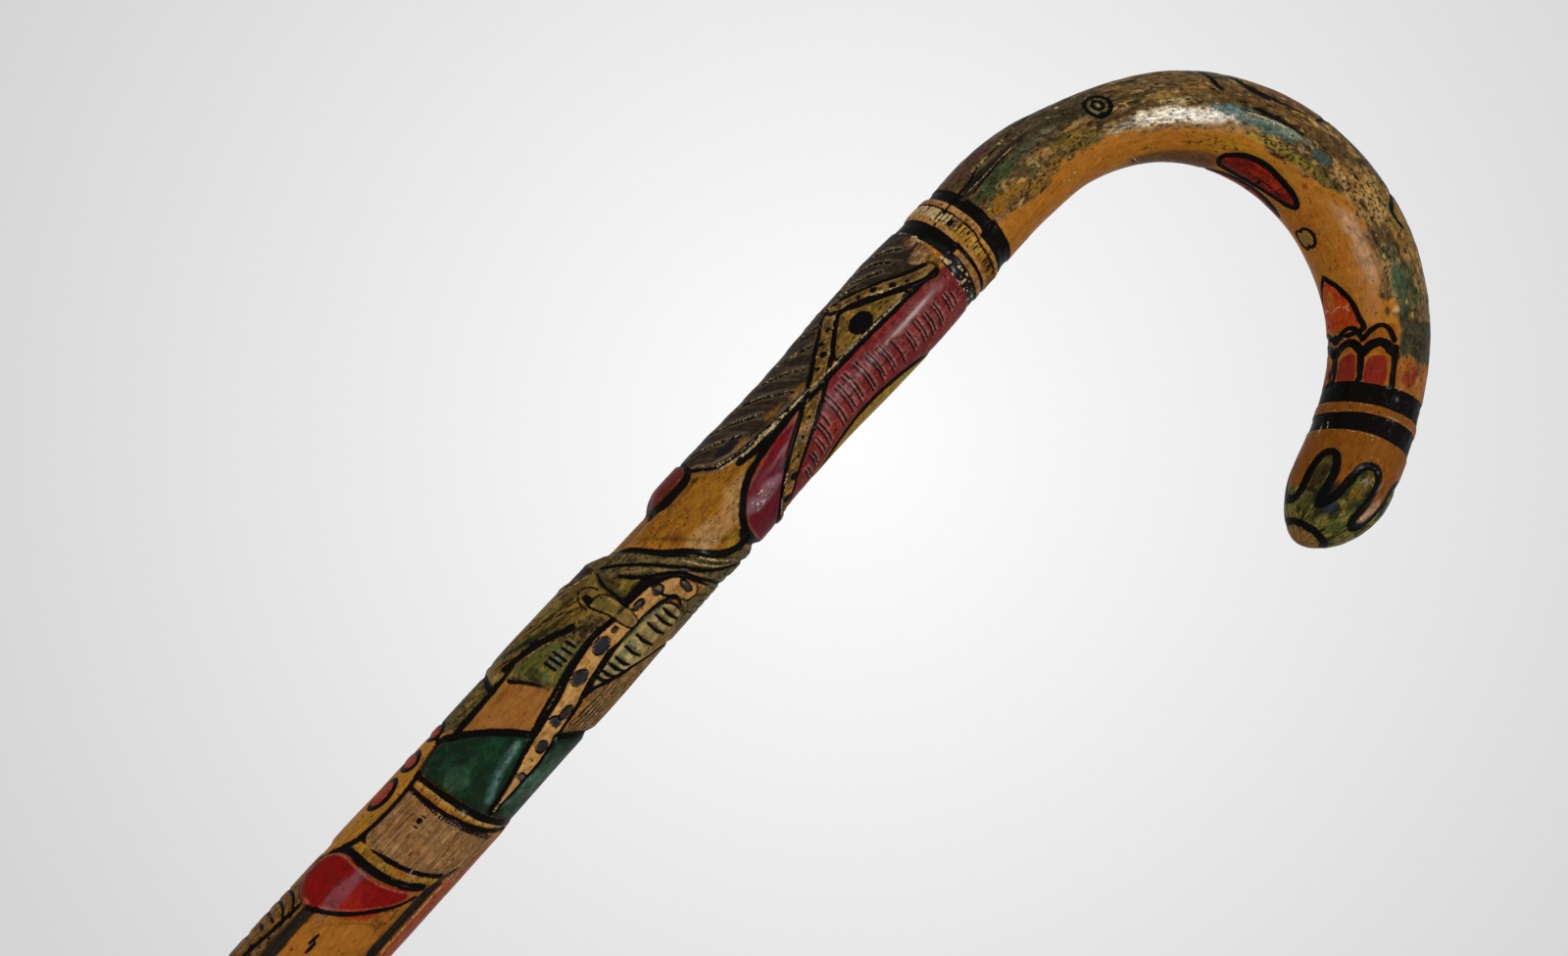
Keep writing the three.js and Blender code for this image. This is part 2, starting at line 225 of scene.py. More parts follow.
# %% Floor
FLOOR_RADIUS, FADE_FROM, FADE_TO = 1.6, 0.3, 1.2
floor_mesh = bpy.data.meshes.new("floor")
angles = np.linspace(0, math.tau, 96, endpoint=False)
rim = [(FLOOR_RADIUS * math.cos(a), FLOOR_RADIUS * math.sin(a), 0.0) for a in angles]
floor_mesh.from_pydata(rim, [], [list(range(len(rim)))])
floor = add_object("floor", floor_mesh)
floor_finish = bpy.data.materials.new("pale_floor")
net = Net(floor_finish)
place = net.node("ShaderNodeNewGeometry", output="Position")
away = net.node("ShaderNodeVectorMath", {"operation": "LENGTH"}, {0: place}, output="Value")
shader = net.node("ShaderNodeBsdfPrincipled", {}, {
    "Base Color": opaque("#f6f6f6"), "Roughness": 0.9, "Alpha": 1 - net.step(away, FADE_FROM, FADE_TO),
})
net.node("ShaderNodeOutputMaterial", {}, {"Surface": shader})
floor_mesh.materials.append(floor_finish)
print("floor corners:", len(rim))

# %% [markdown]
# ## The wood's path and girth
# The blank was steamed and bent round a former, so its centre line is straight below and then runs
# through three arcs. The tables repeat the CAD model's own values. `up` is the distance along the
# wood above the carved neck, and `around` is 0 on the flank that faces the camera, 90 on the
# inside of the crook and -90 outside.

# %% Path
BEND_START = 816.0
NECK = BEND_START - 8.7
ARCS = [(86.0, 31.4), (54.2, 119.0), (100.0, 29.7)]
STOCK_RADIUS = 13.4
END_LENGTH, END_RUN, END_FALL, END_LEAN = 20.5, 1.8, 0.6, 1.6
SHAFT_GIRTH = [
    (0, 0.815), (0.2, 0.85), (0.5, 0.94), (0.72, 0.99), (0.79, 0.985), (0.812, 0.99), (0.837, 0.965),
    (0.88, 0.955), (0.902, 0.915), (0.918, 0.925), (0.936, 0.97), (0.96, 0.998), (0.975, 0.96),
    (0.984, 0.95), (1, 0.94),
]
CROOK_GIRTH = [
    (0, 0.94), (0.055, 0.918), (0.13, 0.827), (0.2, 0.823), (0.3, 0.884), (0.41, 0.949),
    (0.53, 0.984), (0.6, 0.996), (0.66, 0.979), (0.74, 0.948), (0.8, 0.946), (0.88, 0.966), (1, 0.966),
]
CROOK_LENGTH = sum(radius * math.radians(turn) for radius, turn in ARCS)
CROOK_TIP = BEND_START + CROOK_LENGTH
SHOULDER = 59.1
print("length along the wood:", round(CROOK_TIP, 1), "mm")

# %% Reading the path and the girth
def smoothstep(value, low, high):
    """0 up to low, 1 from high on, and an even rise without corners between them."""
    share = np.clip((value - low) / (high - low), 0, 1)
    return share * share * (3 - 2 * share)


def read_table(table, share):
    """A smooth curve through (share, value) pairs, read at each share."""
    x, y = np.array(table, float).T
    slope = np.zeros(len(x))
    slope[1:-1] = (y[2:] - y[:-2]) / (x[2:] - x[:-2])
    slope[0], slope[-1] = (y[1] - y[0]) / (x[1] - x[0]), (y[-1] - y[-2]) / (x[-1] - x[-2])
    left = np.clip(np.searchsorted(x, share, side="right") - 1, 0, len(x) - 2)
    span = x[left + 1] - x[left]
    t = np.clip((share - x[left]) / span, 0, 1)
    return ((2 * t**3 - 3 * t**2 + 1) * y[left] + (t**3 - 2 * t**2 + t) * span * slope[left]
            + (3 * t**2 - 2 * t**3) * y[left + 1] + (t**3 - t**2) * span * slope[left + 1])


def centre_line(distance):
    """x, z and heading of the wood's centre at each distance from the floor along the wood."""
    x, z = np.zeros(len(distance)), np.minimum(distance, BEND_START)
    heading, left = np.zeros(len(distance)), np.maximum(distance - BEND_START, 0)
    for radius, turn in ARCS:
        swept = np.minimum(left / radius, math.radians(turn))
        x += radius * (np.cos(heading) - np.cos(heading + swept))
        z += radius * (np.sin(heading + swept) - np.sin(heading))
        heading, left = heading + swept, left - radius * swept
    return x, z, heading


def into_end(distance):
    """0 along the stick, rising to 1 at the tip over the rounded end's length."""
    return np.clip((distance - CROOK_TIP + END_LENGTH) / END_LENGTH, 0, 1)


def girth(distance):
    """The wood's radius at each distance from the floor along the wood, before it is carved."""
    shaft = read_table(SHAFT_GIRTH, np.minimum(distance, BEND_START) / BEND_START)
    crook = read_table(CROOK_GIRTH, np.clip((distance - BEND_START) / CROOK_LENGTH, 0, 1))
    rounded = np.maximum(1 - into_end(distance) ** END_RUN, 0) ** END_FALL
    return STOCK_RADIUS * np.where(distance <= BEND_START, shaft, crook) * rounded


print("radius at the neck:", round(float(girth(np.array(NECK))), 2), "mm")

# %% [markdown]
# ## The unrolled skin
# Carving and paint are easiest to lay out on the skin unrolled flat. So the skin is one grid: rings
# along the wood, corners round it, and an array for each thing that varies over it: relief, paint,
# ink, wear. The far flank reads the near flank's pictures mirrored, as such sticks are carved in
# pairs of figures, with a slow random drift so that no two sides are exactly alike.

# %% Grid
FINE, MEDIUM, COARSE, SIDES = ((0.38, 0.5, 1.3, 208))
SEEN_FROM = -226.0
steps_down = np.arange(SHOULDER, NECK + SEEN_FROM, COARSE)
steps_pictures = np.arange(NECK + SEEN_FROM, NECK, FINE)
steps_crook = np.arange(NECK, CROOK_TIP - END_LENGTH, MEDIUM)
quarter = np.linspace(0, math.pi / 2, int(1.6 * END_LENGTH / MEDIUM))[:-1]
steps_end = CROOK_TIP - END_LENGTH * (1 - np.sin(quarter))
distances = np.concatenate([steps_down, steps_pictures, steps_crook, steps_end])
row_up = distances - NECK
side_around = np.arange(SIDES) * 360 / SIDES
row_girth = girth(distances)
turn = np.radians(side_around)
folded = np.degrees(np.arctan2(np.sin(turn), np.abs(np.cos(turn))))
straight = np.stack(np.broadcast_arrays(
    STOCK_RADIUS * np.cos(turn)[None, :], STOCK_RADIUS * np.sin(turn)[None, :], row_up[:, None],
), axis=-1)
print("rings:", len(distances), "corners:", straight.shape[0] * straight.shape[1])

# %% Random clouds
def cloud(across, along, seed):
    """Smooth random values, about -1 to 1, that change over these millimetres on the skin."""
    size = 64
    lattice = np.random.default_rng(seed).uniform(-1, 1, (size, size, size))
    place = straight / (across, across, along)
    low = np.floor(place).astype(int)
    part = place - low
    part = part * part * (3 - 2 * part)
    total = np.zeros(place.shape[:2])
    for corner in np.ndindex(2, 2, 2):
        weight = np.prod(np.where(np.array(corner) == 1, part, 1 - part), axis=-1)
        x, y, z = np.moveaxis((low + corner) % size, -1, 0)
        total += weight * lattice[x, y, z]
    return total


far_flank = smoothstep(-np.cos(turn), 0.1, 0.6)[None, :]
up = row_up[:, None] + 1.6 * far_flank * cloud(9, 14, 1)
around = folded[None, :] + 5.0 * far_flank * cloud(8, 12, 2)
unrolled = np.radians(around) * np.maximum(row_girth, 4)[:, None]
wobble = cloud(2.2, 2.6, 3)
print("drift on the far flank, up to", round(float(np.abs(up - row_up[:, None]).max()), 2), "mm")

# %% Layers
GOLD, ORANGE, BROWN, UMBER, RUST = "#946c20", "#925a14", "#4a3116", "#2a2119", "#7c3f1c"
OLIVE, PINE, GREEN, SCARLET, PLUM = "#4d4720", "#12291a", "#2d4420", "#8c1c10", "#401014"

relief = np.zeros(up.shape)
paint = np.broadcast_to(linear(ORANGE), (*up.shape, 3)).copy()
mottle = np.broadcast_to(linear(BROWN), (*up.shape, 3)).copy()
mottling = np.full(up.shape, 0.3)
specks = np.full(up.shape, 0.32)
BARE = -9.0
ink = np.full(up.shape, BARE)
gilt = np.full(up.shape, BARE)
# Polish makes the varnish glossier, and the finish also paints pale glints where it is high.
polish_and_glints = np.zeros(up.shape)
print("layers of", relief.size, "corners each")

# %% [markdown]
# ## Carver's and painter's tools
# A handful of tools make every figure. `curve` draws a smooth line through a few points, `cut` runs a
# veiner along it and inks the groove, `stroke` only paints, `field` raises or sinks an area and
# colours it, and `patch` dabs a soft-edged colour. Distances are measured on the unrolled skin in
# millimetres, so a line keeps its width wherever it goes.

# %% Lines on the skin
def curve(points, closed=False):
    """A smooth line through (up, around) points, as millimetres on the unrolled skin. It takes five
    steps from one point to the next."""
    flat = np.array([(u, math.radians(a) * max(float(girth(np.array(u + NECK))), 4)) for u, a in points])
    if len(flat) < 3:
        return flat
    ends = (flat[-1:], flat[:2]) if closed else (2 * flat[:1] - flat[1:2], 2 * flat[-1:] - flat[-2:-1])
    knots = np.concatenate([ends[0], flat, ends[1]])
    t = np.linspace(0, 1, 5, endpoint=False)[:, None]
    pieces = [
        0.5 * (2 * b + (c - a) * t + (2 * a - 5 * b + 4 * c - d) * t**2 + (3 * b - a - 3 * c + d) * t**3)
        for a, b, c, d in zip(knots, knots[1:], knots[2:], knots[3:])
    ]
    return np.concatenate([*pieces, flat[:1] if closed else flat[-1:]])


def near(line, reach):
    """The grid's rows that come within reach of a line."""
    reach += 2
    low, high = line[:, 0].min() - reach, line[:, 0].max() + reach
    return slice(*np.searchsorted(row_up, (low, high)))


def away_from(line, rows):
    """Each corner's distance from a line, and how far along the line its nearest point is."""
    x, y = up[rows], unrolled[rows]
    nearest, along = np.full(x.shape, 99.0), np.zeros(x.shape)
    for i, (a, b) in enumerate(zip(line, line[1:])):
        run = b - a
        share = np.clip(((x - a[0]) * run[0] + (y - a[1]) * run[1]) / max(run @ run, 1e-9), 0, 1)
        gap = np.hypot(x - a[0] - share * run[0], y - a[1] - share * run[1])
        closer = gap < nearest
        nearest, along = np.where(closer, gap, nearest), np.where(closer, i + share, along)
    return nearest, along / (len(line) - 1)


def inside(rim, rows):
    """Depth inside a closed line, negative outside it."""
    x, y = up[rows], unrolled[rows]
    odd = np.zeros(x.shape, bool)
    for a, b in zip(rim, rim[1:]):
        if a[1] != b[1]:
            crosses = (a[1] > y) != (b[1] > y)
            odd ^= crosses & (x < a[0] + (y - a[1]) / (b[1] - a[1]) * (b[0] - a[0]))
    gap = away_from(rim, rows)[0]
    return np.where(odd, gap, -gap)


print("a short line has", len(curve([(0, 0), (5, 20), (9, 10)])), "points")

# %% Painting tools
def lay(rows, cover, colour, second=None, share=None, speck=None):
    """Paints a mix over what is there, as far as cover says: a colour, a second colour that breaks it up,
    the second one's share, and how densely it is freckled."""
    cover = np.clip(cover, 0, 1)
    first = linear(colour)
    paint[rows] += cover[..., None] * (first - paint[rows])
    mottle[rows] += cover[..., None] * ((linear(second) if second else first * 0.45) - mottle[rows])
    if share is not None:
        mottling[rows] += cover * (share - mottling[rows])
    if speck is not None:
        specks[rows] += cover * (speck - specks[rows])


def wash(cover, *mix):
    """Lays a mix over the whole stick, as far as cover says."""
    lay(slice(None), cover, *mix)


def stroke(points, width=1.2, layer=ink, closed=False, taper=0.0):
    """A painted line. Taper thins it towards both ends. It gives back the rows it looked at and how far
    each of their corners is from the line."""
    line = curve(points, closed)
    rows = near(line, width)
    gap, along = away_from(line, rows)
    half = width / 2 * (1 - taper * np.abs(2 * along - 1) ** 2)
    layer[rows] = np.maximum(layer[rows], half - gap + min(0.14, 0.12 * width) * wobble[rows])
    return rows, gap


def tint(points, half, colour, strength=0.6):
    """A soft, slightly sunk line of colour that fades out this far to each side."""
    line = curve(points)
    rows = near(line, 1)
    gap = away_from(line, rows)[0]
    relief[rows] -= 0.1 * strength * np.clip(1 - gap / half, 0, 1)
    lay(rows, strength * np.clip(1.1 - gap / half, 0, 1), colour)


print("painting tools:", ", ".join(tool.__name__ for tool in (lay, wash, stroke, tint)))

# %% Carving tools
def cut(points, width=1.3, depth=0.4, closed=False, taper=0.0):
    """A groove with ink in it."""
    rows, gap = stroke(points, width, ink, closed, taper)
    relief[rows] -= depth * np.clip(1.15 - gap / (0.75 * width), 0, 1)


def cut_with_highlit_lip(points, side, width=1.3, depth=0.4):
    """A cut whose lip on one side is painted pale as a highlight: side is that lip's shift along the wood."""
    stroke([(u + side, a) for u, a in points], 0.12, gilt, taper=0.9)
    cut(points, width, depth, taper=0.4)


def cuts(table, taper=0.0):
    """Several cuts from (width, depth, points) rows."""
    for width, depth, points in table:
        cut(points, width, depth, taper=taper)


def field(outline, height, *mix, edge=0.6, line=0.0):
    """An area raised or sunk by height, painted, and outlined with an inked cut if line isn't 0."""
    rim = curve(outline, closed=True)
    rows = near(rim, 2 + edge)
    depth = inside(rim, rows)
    relief[rows] += height * smoothstep(depth, -edge, edge)
    if mix:
        lay(rows, smoothstep(depth + 0.2 * wobble[rows], -0.2, 0.2), *mix)
        ink[rows] = np.minimum(ink[rows], np.maximum(-depth, BARE))
        gilt[rows] = np.minimum(gilt[rows], np.maximum(-depth, BARE))
    if line:
        ink[rows] = np.maximum(ink[rows], line / 2 - np.abs(depth) + 0.12 * wobble[rows])
        relief[rows] -= 0.3 * np.clip(1.2 - np.abs(depth) / (0.7 * line), 0, 1)


print("carving tools:", ", ".join(tool.__name__ for tool in (cut, cut_with_highlit_lip, cuts, field)))

# %% Dabs and spots
def patch(place, reach, colour, strength=0.8, **finish):
    """A soft dab of colour at (up, around), reaching (along, degrees). Finish is lay's share and speck."""
    rows = slice(*np.searchsorted(row_up, (place[0] - 3 * reach[0] - 2, place[0] + 3 * reach[0] + 2)))
    spread = ((up[rows] - place[0]) / reach[0]) ** 2 + ((around[rows] - place[1]) / reach[1]) ** 2
    ragged = spread + 0.9 * wobble[rows]
    lay(rows, strength * (1 - smoothstep(ragged, 0.3, 1.8)), colour, **finish)


def patches(table, **finish):
    """Several dabs from (place, reach, colour, strength) rows."""
    for place, reach, colour, strength in table:
        patch(place, reach, colour, strength, **finish)


def shine(place, reach, strength):
    """Polishes the varnish round (up, around), reaching (along, degrees). The same layer sets where pale
    glints are painted into the finish.
    """
    spread = ((up - place[0]) / reach[0]) ** 2 + ((around - place[1]) / reach[1]) ** 2
    polish_and_glints[:] = np.maximum(polish_and_glints, strength * (1 - smoothstep(spread + 0.3 * wobble, 0.3, 1.6)))


def oval(place, radii):
    """Outline points of an oval at (up, around), with radii in millimetres along and across the wood."""
    wide = math.degrees(radii[1] / float(girth(np.array(place[0] + NECK))))
    angles = np.arange(10) * math.tau / 10
    return [(place[0] + radii[0] * math.cos(a), place[1] + wide * math.sin(a)) for a in angles]


def spot(place, radii, layer=ink, sunk=0.15):
    """A round or oval spot at (up, around), with radii in millimetres along and across the wood."""
    rows = slice(*np.searchsorted(row_up, (place[0] - radii[0] - 3, place[0] + radii[0] + 3)))
    middle = math.radians(place[1]) * np.maximum(row_girth[rows], 4)[:, None]
    spread = np.hypot((up[rows] - place[0]) / radii[0], (unrolled[rows] - middle) / radii[1])
    depth = (1 - spread) * min(radii) + 0.15 * wobble[rows]
    layer[rows] = np.maximum(layer[rows], depth)
    relief[rows] -= sunk * smoothstep(depth, -0.3, 0.3)


print("tools for dabs:", ", ".join(tool.__name__ for tool in (patch, patches, shine, oval, spot)))

# %% Bands and rings
def borders(rows, past, line, groove, ragged):
    """Inks and sinks a band's two borders, where past is how far a corner lies beyond its edge. The line
    is (half its width, place) and the groove (depth, place), with places beyond the edge."""
    ink[rows] = np.minimum(ink[rows], np.maximum(past, BARE))
    ink[rows] = np.maximum(ink[rows], line[0] - np.abs(past - line[1]) + ragged * wobble[rows])
    relief[rows] -= groove[0] * smoothstep(0.9 - np.abs(past - groove[1]), 0, 0.9)


def hoop(low, high, layer=ink, depth=0.0, tilt=0.0, span=(-200, 200)):
    """A painted ring between two places, sunk by depth. Tilt raises it on the inner side, or lowers it
    there if it is negative. Span keeps it to part of the way round."""
    shift = tilt * smoothstep(around, 0, 20)
    within = np.minimum(up - shift - low, high + shift - up) + 0.15 * wobble
    within = np.minimum(within, np.minimum(around - span[0], span[1] - around) * 0.23)
    layer[:] = np.maximum(layer, within)
    relief[:] -= depth * smoothstep(within, -0.3, 0.3)


def coat(low, high, *mix, span=(-200, 200), soft=0.3):
    """Paint all round between two places, or over part of the way round."""
    cover = smoothstep(np.minimum(up - low, high - up) + 0.2 * wobble, -soft, soft)
    cover = cover * smoothstep(np.minimum(around - span[0], span[1] - around), -12 * soft, 12 * soft)
    wash(cover, *mix)


def report(figure):
    """Prints that a figure is done and how much ink there is by now."""
    print(figure, "done; inked corners so far:", int((ink > 0).sum()))


print("band tools:", ", ".join(tool.__name__ for tool in (borders, hoop, coat)))

# %% [markdown]
# ## Ground colours
# Under the figures the wood is stained and varnished: honey brown on the shaft, orange on the inside of
# the crook and a freckled olive brown along its back. Big soft clouds of the two keep any stretch
# from looking printed.

# %% Ground
wash(0.35 * smoothstep(cloud(7, 30, 4), 0.0, 0.8), RUST)
BACK_EDGE = [(0, 12), (6, 19), (30, 21), (42, 17), (50, 27), (80, 29), (90, 34), (104, 36), (113, 25),
    (150, 20), (158, 15), (220, 12)]
crook_part = smoothstep(up, -0.6, 1.0)
ragged_edge = read_table(BACK_EDGE, np.clip(up, 0, 220)) + 8 * cloud(3, 7, 5) + 7 * cloud(0.9, 2.4, 16)
outer_side = smoothstep(around - ragged_edge, 3, -3)
wash(crook_part, "#985e1a", "#a66c26", 0.35, 0.12)
wash(crook_part * outer_side, "#624c2a", "#3a2f1c", 0.5, 0.36)
for code, across, along, seed, low in (
    ("#84602a", 4.5, 7.0, 6, 0.05), ("#9a7844", 1.6, 4.0, 17, 0.34), ("#4c4c28", 3.4, 6.0, 19, 0.34),
    ("#2a2114", 1.0, 2.4, 18, 0.26), ("#b8945e", 0.8, 1.5, 27, 0.44), ("#1e170d", 0.8, 1.4, 28, 0.46),
):
    wash(0.85 * crook_part * outer_side * smoothstep(cloud(across, along, seed), low, low + 0.12), code,
         None, 0.4)
back = crook_part * smoothstep(around + 8 * cloud(4, 7, 15), -8, -20) * smoothstep(up, 52, 36)
wash(0.8 * back, "#51442a", "#2a2417", 0.5, 0.5)
wash(crook_part * smoothstep(around, 58, 70) * smoothstep(up, 46, 52) * smoothstep(up, 84, 78), "#65401f",
     BROWN, 0.4)
relief += 0.10 * cloud(7, 12, 7) + 0.05 * cloud(2.4, 4.5, 8)
relief += 0.10 * crook_part * outer_side * cloud(0.9, 2.2, 9)
print("share of olive ground:", round(float((crook_part * outer_side).mean()), 2))

# %% [markdown]
# ## The serpent below the pictures
# The photograph ends under the pictures. Sticks of this kind often have a snake winding down from there,
# so the CAD model's serpent gets scales: two families of slanting cuts that cross, a row of diamonds
# down the back, and pale belly edges.

# %% Serpent
SERPENT_TOP, SERPENT_LENGTH, SERPENT_PITCH, SERPENT_WIDTH, SERPENT_HEIGHT = -242.0, 320.0, 96.0, 17.0, 1.1
SCALE_PITCH, DIAMOND_PITCH, STEEPNESS = 4.6, 16.0, 0.88
wash(smoothstep(up, -243, -246), "#7c4e22", BROWN, 0.3, 0.25)
down = -row_up[:, None]
share = np.clip((down + SERPENT_TOP) / SERPENT_LENGTH, 0, 1)
turns = down / SERPENT_PITCH - side_around[None, :] / 360
offset = (turns - np.round(turns)) * SERPENT_PITCH
thick = np.sqrt(np.sin(math.pi * share)) + 1e-6
across = offset / (SERPENT_WIDTH / 2 * thick)
body = np.clip(1 - np.abs(across), 0, 1)
on_body = (np.abs(across) < 1) & (share > 0) & (share < 1)
relief += np.where(on_body, SERPENT_HEIGHT * thick * np.sqrt(np.clip(1 - across**2, 0, 1)), 0)
along_body = np.hypot(1, STEEPNESS) * (turn[None, :] * STOCK_RADIUS - 0.9 * offset)
slant_a = np.abs((along_body + offset) / SCALE_PITCH % 1 - 0.5)
slant_b = np.abs((along_body - offset) / SCALE_PITCH % 1 - 0.5)
scale_gap = np.minimum(slant_a, slant_b) * SCALE_PITCH
wash(on_body * 1.0, "#3c4820", PINE, 0.45, 0.4)
wash(on_body * smoothstep(np.abs(across), 0.5, 0.62), "#86682c", OLIVE, 0.4)
diamond = np.abs(offset) + 0.5 * np.abs(along_body / DIAMOND_PITCH % 1 - 0.5) * DIAMOND_PITCH
wash(on_body * smoothstep(diamond, 4.2, 3.4), "#702016", PLUM, 0.4)
ink[:] = np.where(on_body, np.maximum(ink, 0.5 - np.abs(diamond - 4.1)), ink)
ink[:] = np.where(on_body & (np.abs(across) < 0.95), np.maximum(ink, 0.2 - scale_gap), ink)
relief -= np.where(on_body, 0.22 * np.clip(1 - scale_gap / 0.8, 0, 1) * smoothstep(body, 0, 0.2), 0)
beside = np.abs(np.abs(offset) - SERPENT_WIDTH / 2 * thick)
outline = np.where((share > 0.002) & (share < 0.998), 0.7 - beside + 0.15 * wobble, BARE)
ink[:] = np.maximum(ink, outline)
relief -= 0.35 * smoothstep(outline, -0.5, 0.3)
print("serpent turns:", round(SERPENT_LENGTH / SERPENT_PITCH, 1))

# %% [markdown]
# ## Ground between the coils
# Between the coils the ground is textured with small gouge nicks, row on row, which is how a carver
# hides the plain wood and makes the smooth snake stand out.

# %% Gouge nicks
NICK_PITCH, NICKS_ROUND, NICK_LONG, NICK_WIDE = 4.2, 20, 1.5, 0.75
between = (share > 0) & (share < 1) & (beside > 1.6) & ~on_body
nick_row = np.round(down / NICK_PITCH)
nick_u = down / NICK_PITCH - nick_row
nick_a = (side_around[None, :] / 360 * NICKS_ROUND + 0.5 * (nick_row % 2)) % 1 - 0.5
nick = 1 - np.hypot(nick_u * NICK_PITCH / NICK_LONG, nick_a * NICK_PITCH / NICK_WIDE)
relief -= np.where(between, 0.3 * smoothstep(nick, 0, 0.8), 0)
ink[:] = np.where(between, np.maximum(ink, nick * 0.7 - 0.18 + 0.2 * wobble), ink)
for low, high in ((-244.6, -243.2), (-240.8, -239.4), (-566.5, -564.0), (-572.0, -570.0)):
    hoop(low, high, depth=0.45)
coat(-570.0, -566.5, GOLD, BROWN, 0.5)
coat(-243.2, -240.8, GOLD, BROWN, 0.5)
print("nicked corners:", int(between.sum()))

# %% [markdown]
# ## Rings above the ferrule
# The plain lower shaft ends in a few painted rings where the wood meets its brass.

# %% Lower rings
coat(-716, -704, "#64180f", PLUM, 0.4)
coat(-728, -720, GREEN, PINE, 0.4)
LOWER_RINGS = [(-704, -702), (-718, -716), (-720, -719), (-730, -728), (-746, -744.6)]
for low, high in LOWER_RINGS:
    hoop(low, high, depth=0.3)
print("lower rings:", len(LOWER_RINGS))

# %% [markdown]
# ## Bottom of the picture: dome leaf and ribbed band
# The lowest carving in the photograph is a red leaf like a dome over a gold field, and above it a band
# scratched along the grain, held between black and gold rings that slope round the shaft.

# %% Dome leaf
field([(-222, -22), (-213, 22), (-220, 34), (-238, 30), (-238, -30)], -0.3, "#945c1e", "#8a561a", 0.4, 0.05)
field([(-240, 62), (-222, 60), (-218, 51), (-200, 51), (-192, 55), (-186, 62), (-184, 110), (-240, 110)],
      0.2, "#944322", RUST, 0.4, edge=1.2)
field([(-240, -38), (-222, -38), (-219, -45), (-216, -66), (-210, -68), (-209, -110), (-240, -110)], -0.4,
      "#7a5420", BROWN, 0.5)
field([(-240, -42), (-222, -42), (-219, -38), (-218, -29), (-222, -28), (-240, -29)], -0.3, "#191713",
      UMBER, 0.5)
field([(-215.5, -4), (-213.5, 12), (-209, 20), (-204, 30), (-207, 24), (-211, 10)], 0, "#94300c", SCARLET,
      0.4)
field([(-219.5, -45), (-218.3, -60), (-216, -68), (-210.5, -68), (-207.3, -54), (-206.6, -40),
      (-206.4, -10), (-205, 10), (-203, 27), (-202.6, 33), (-206, 29), (-209, 20), (-212, 8), (-215, -5),
      (-217.5, -20), (-219.3, -34)], 0.6, "#720c0a", "#560a08", 0.3, 0.05)
# The purple-grey dabs across the leaf's middle, at up -213 and -206.8, are a painted sheen.
patches([
    ((-213, -5), (4, 10), SCARLET, 0.6), ((-213, -21), (7, 6), "#7a4a52", 0.5),
    ((-206.8, -20), (2, 6), "#5c4850", 0.6),
])
cuts([
    (0.9, 0.3, [(-219.8, -38), (-217.6, -19), (-214.6, -2), (-211, 13), (-207.5, 26), (-204, 35)]),
    (1.8, 0.45, [(-212, -74), (-208, -60), (-205.8, -45), (-205.6, -25), (-204.9, -2), (-203.3, 18),
     (-201.4, 34)]),
    (1.5, 0.35, [(-202, -43), (-201.8, -20), (-201, 0), (-199.6, 20), (-197.4, 42)]),
    (1.3, 0.4, [(-236, -58), (-228, -52), (-221, -48)]),
])
for low, side in ((-224.6, -12), (-226.4, -9)):
    stroke([(low, side), (low + 3, side + 1)], 0.8, taper=0.4)
field([(-226, 78), (-221, 58), (-219.5, 38), (-212, 37), (-203, 38), (-199, 42), (-193.5, 53), (-200, 50),
      (-217.5, 50), (-220, 62), (-223, 82)], -0.4, "#12110e", "#2c2b24", 0.5)
stroke([(-219, 60), (-217, 52), (-208, 51.5), (-200, 52), (-193, 55.5)], 0.35, gilt, taper=0.5)
for rib in range(5):
    low = -236 + 3.1 * rib
    cut([(low, -46), (low + 2.6, -58), (low + 3.2, -72), (low + 2.4, -92)], 0.8, 0.35, taper=0.5)
report("dome leaf")

# %% Ribbed band
coat(-204.6, -202.4, GOLD, BROWN, 0.4, span=(-52, 4))
field([(-201.6, -42), (-201.2, -10), (-200, 12), (-197.5, 36), (-194, 52), (-188, 64), (-184, 70),
      (-182.5, 62), (-185, 40), (-187, 10), (-187.6, -15), (-187.8, -42)], 0.2, "#966c3e", "#7c5630", 0.45,
      0.1)
RIB_PITCH = 1.95
for rib in range(56):
    place = -42 + rib * RIB_PITCH + 0.5 * math.sin(7.1 * rib)
    low, high = -201.4 + max(place, -10) ** 2 * 0.0014, -187.8 + max(place, 0) * 0.045
    sway, middle = 0.9 * math.sin(1.7 * rib), (low + high) / 2 + 2.5 * math.sin(2.3 * rib)
    scratch = [(low, place), (middle, place + sway), (high, place)]
    tint(scratch, 0.5, "#4e3018", 0.42 + 0.32 * math.sin(3.3 * rib))
    tint([(u, a + 1.0) for u, a in scratch], 0.35, "#b48c5c", 0.5 + 0.3 * math.sin(5.1 * rib))
    if rib % 9 == 2:
        stroke(scratch, 0.02, gilt)
spot((-191.5, -13), (0.8, 0.7))
for side in (-193.2, -190.4):
    stroke([(side, -16), (side + 0.3, -10)], 0.4)
for low, high, half, colour in (
    ((-204, 4), (-198, 40), 1.0, GOLD), ((-186.2, -42), (-181.0, 76), 0.42, "#a4803a"),
):
    bend = ((low[0] + high[0]) / 2 - 0.9, (low[1] + high[1]) / 2)
    rows, gap = stroke([low, bend, high], 0.02, gilt)
    lay(rows, smoothstep(gap, half + 0.2, half - 0.2), colour, BROWN, 0.35)
cuts([
    (1.2, 0.35, [(-187.8, -42), (-187.6, -20), (-187, 0), (-186, 20), (-184.5, 42), (-183, 58),
     (-181.6, 76)]),
    (2.2, 0.5, [(-184.8, -50), (-184.1, -20), (-183.7, 0), (-182.5, 28), (-181.0, 52), (-179.5, 78)]),
])
for notch in range(30):
    place = -38 + 3.3 * notch
    low = -188.4 + max(place, 0) * 0.055
    stroke([(low, place), (low + 1.1, place + 1)], 0.5)
report("ribbed band")

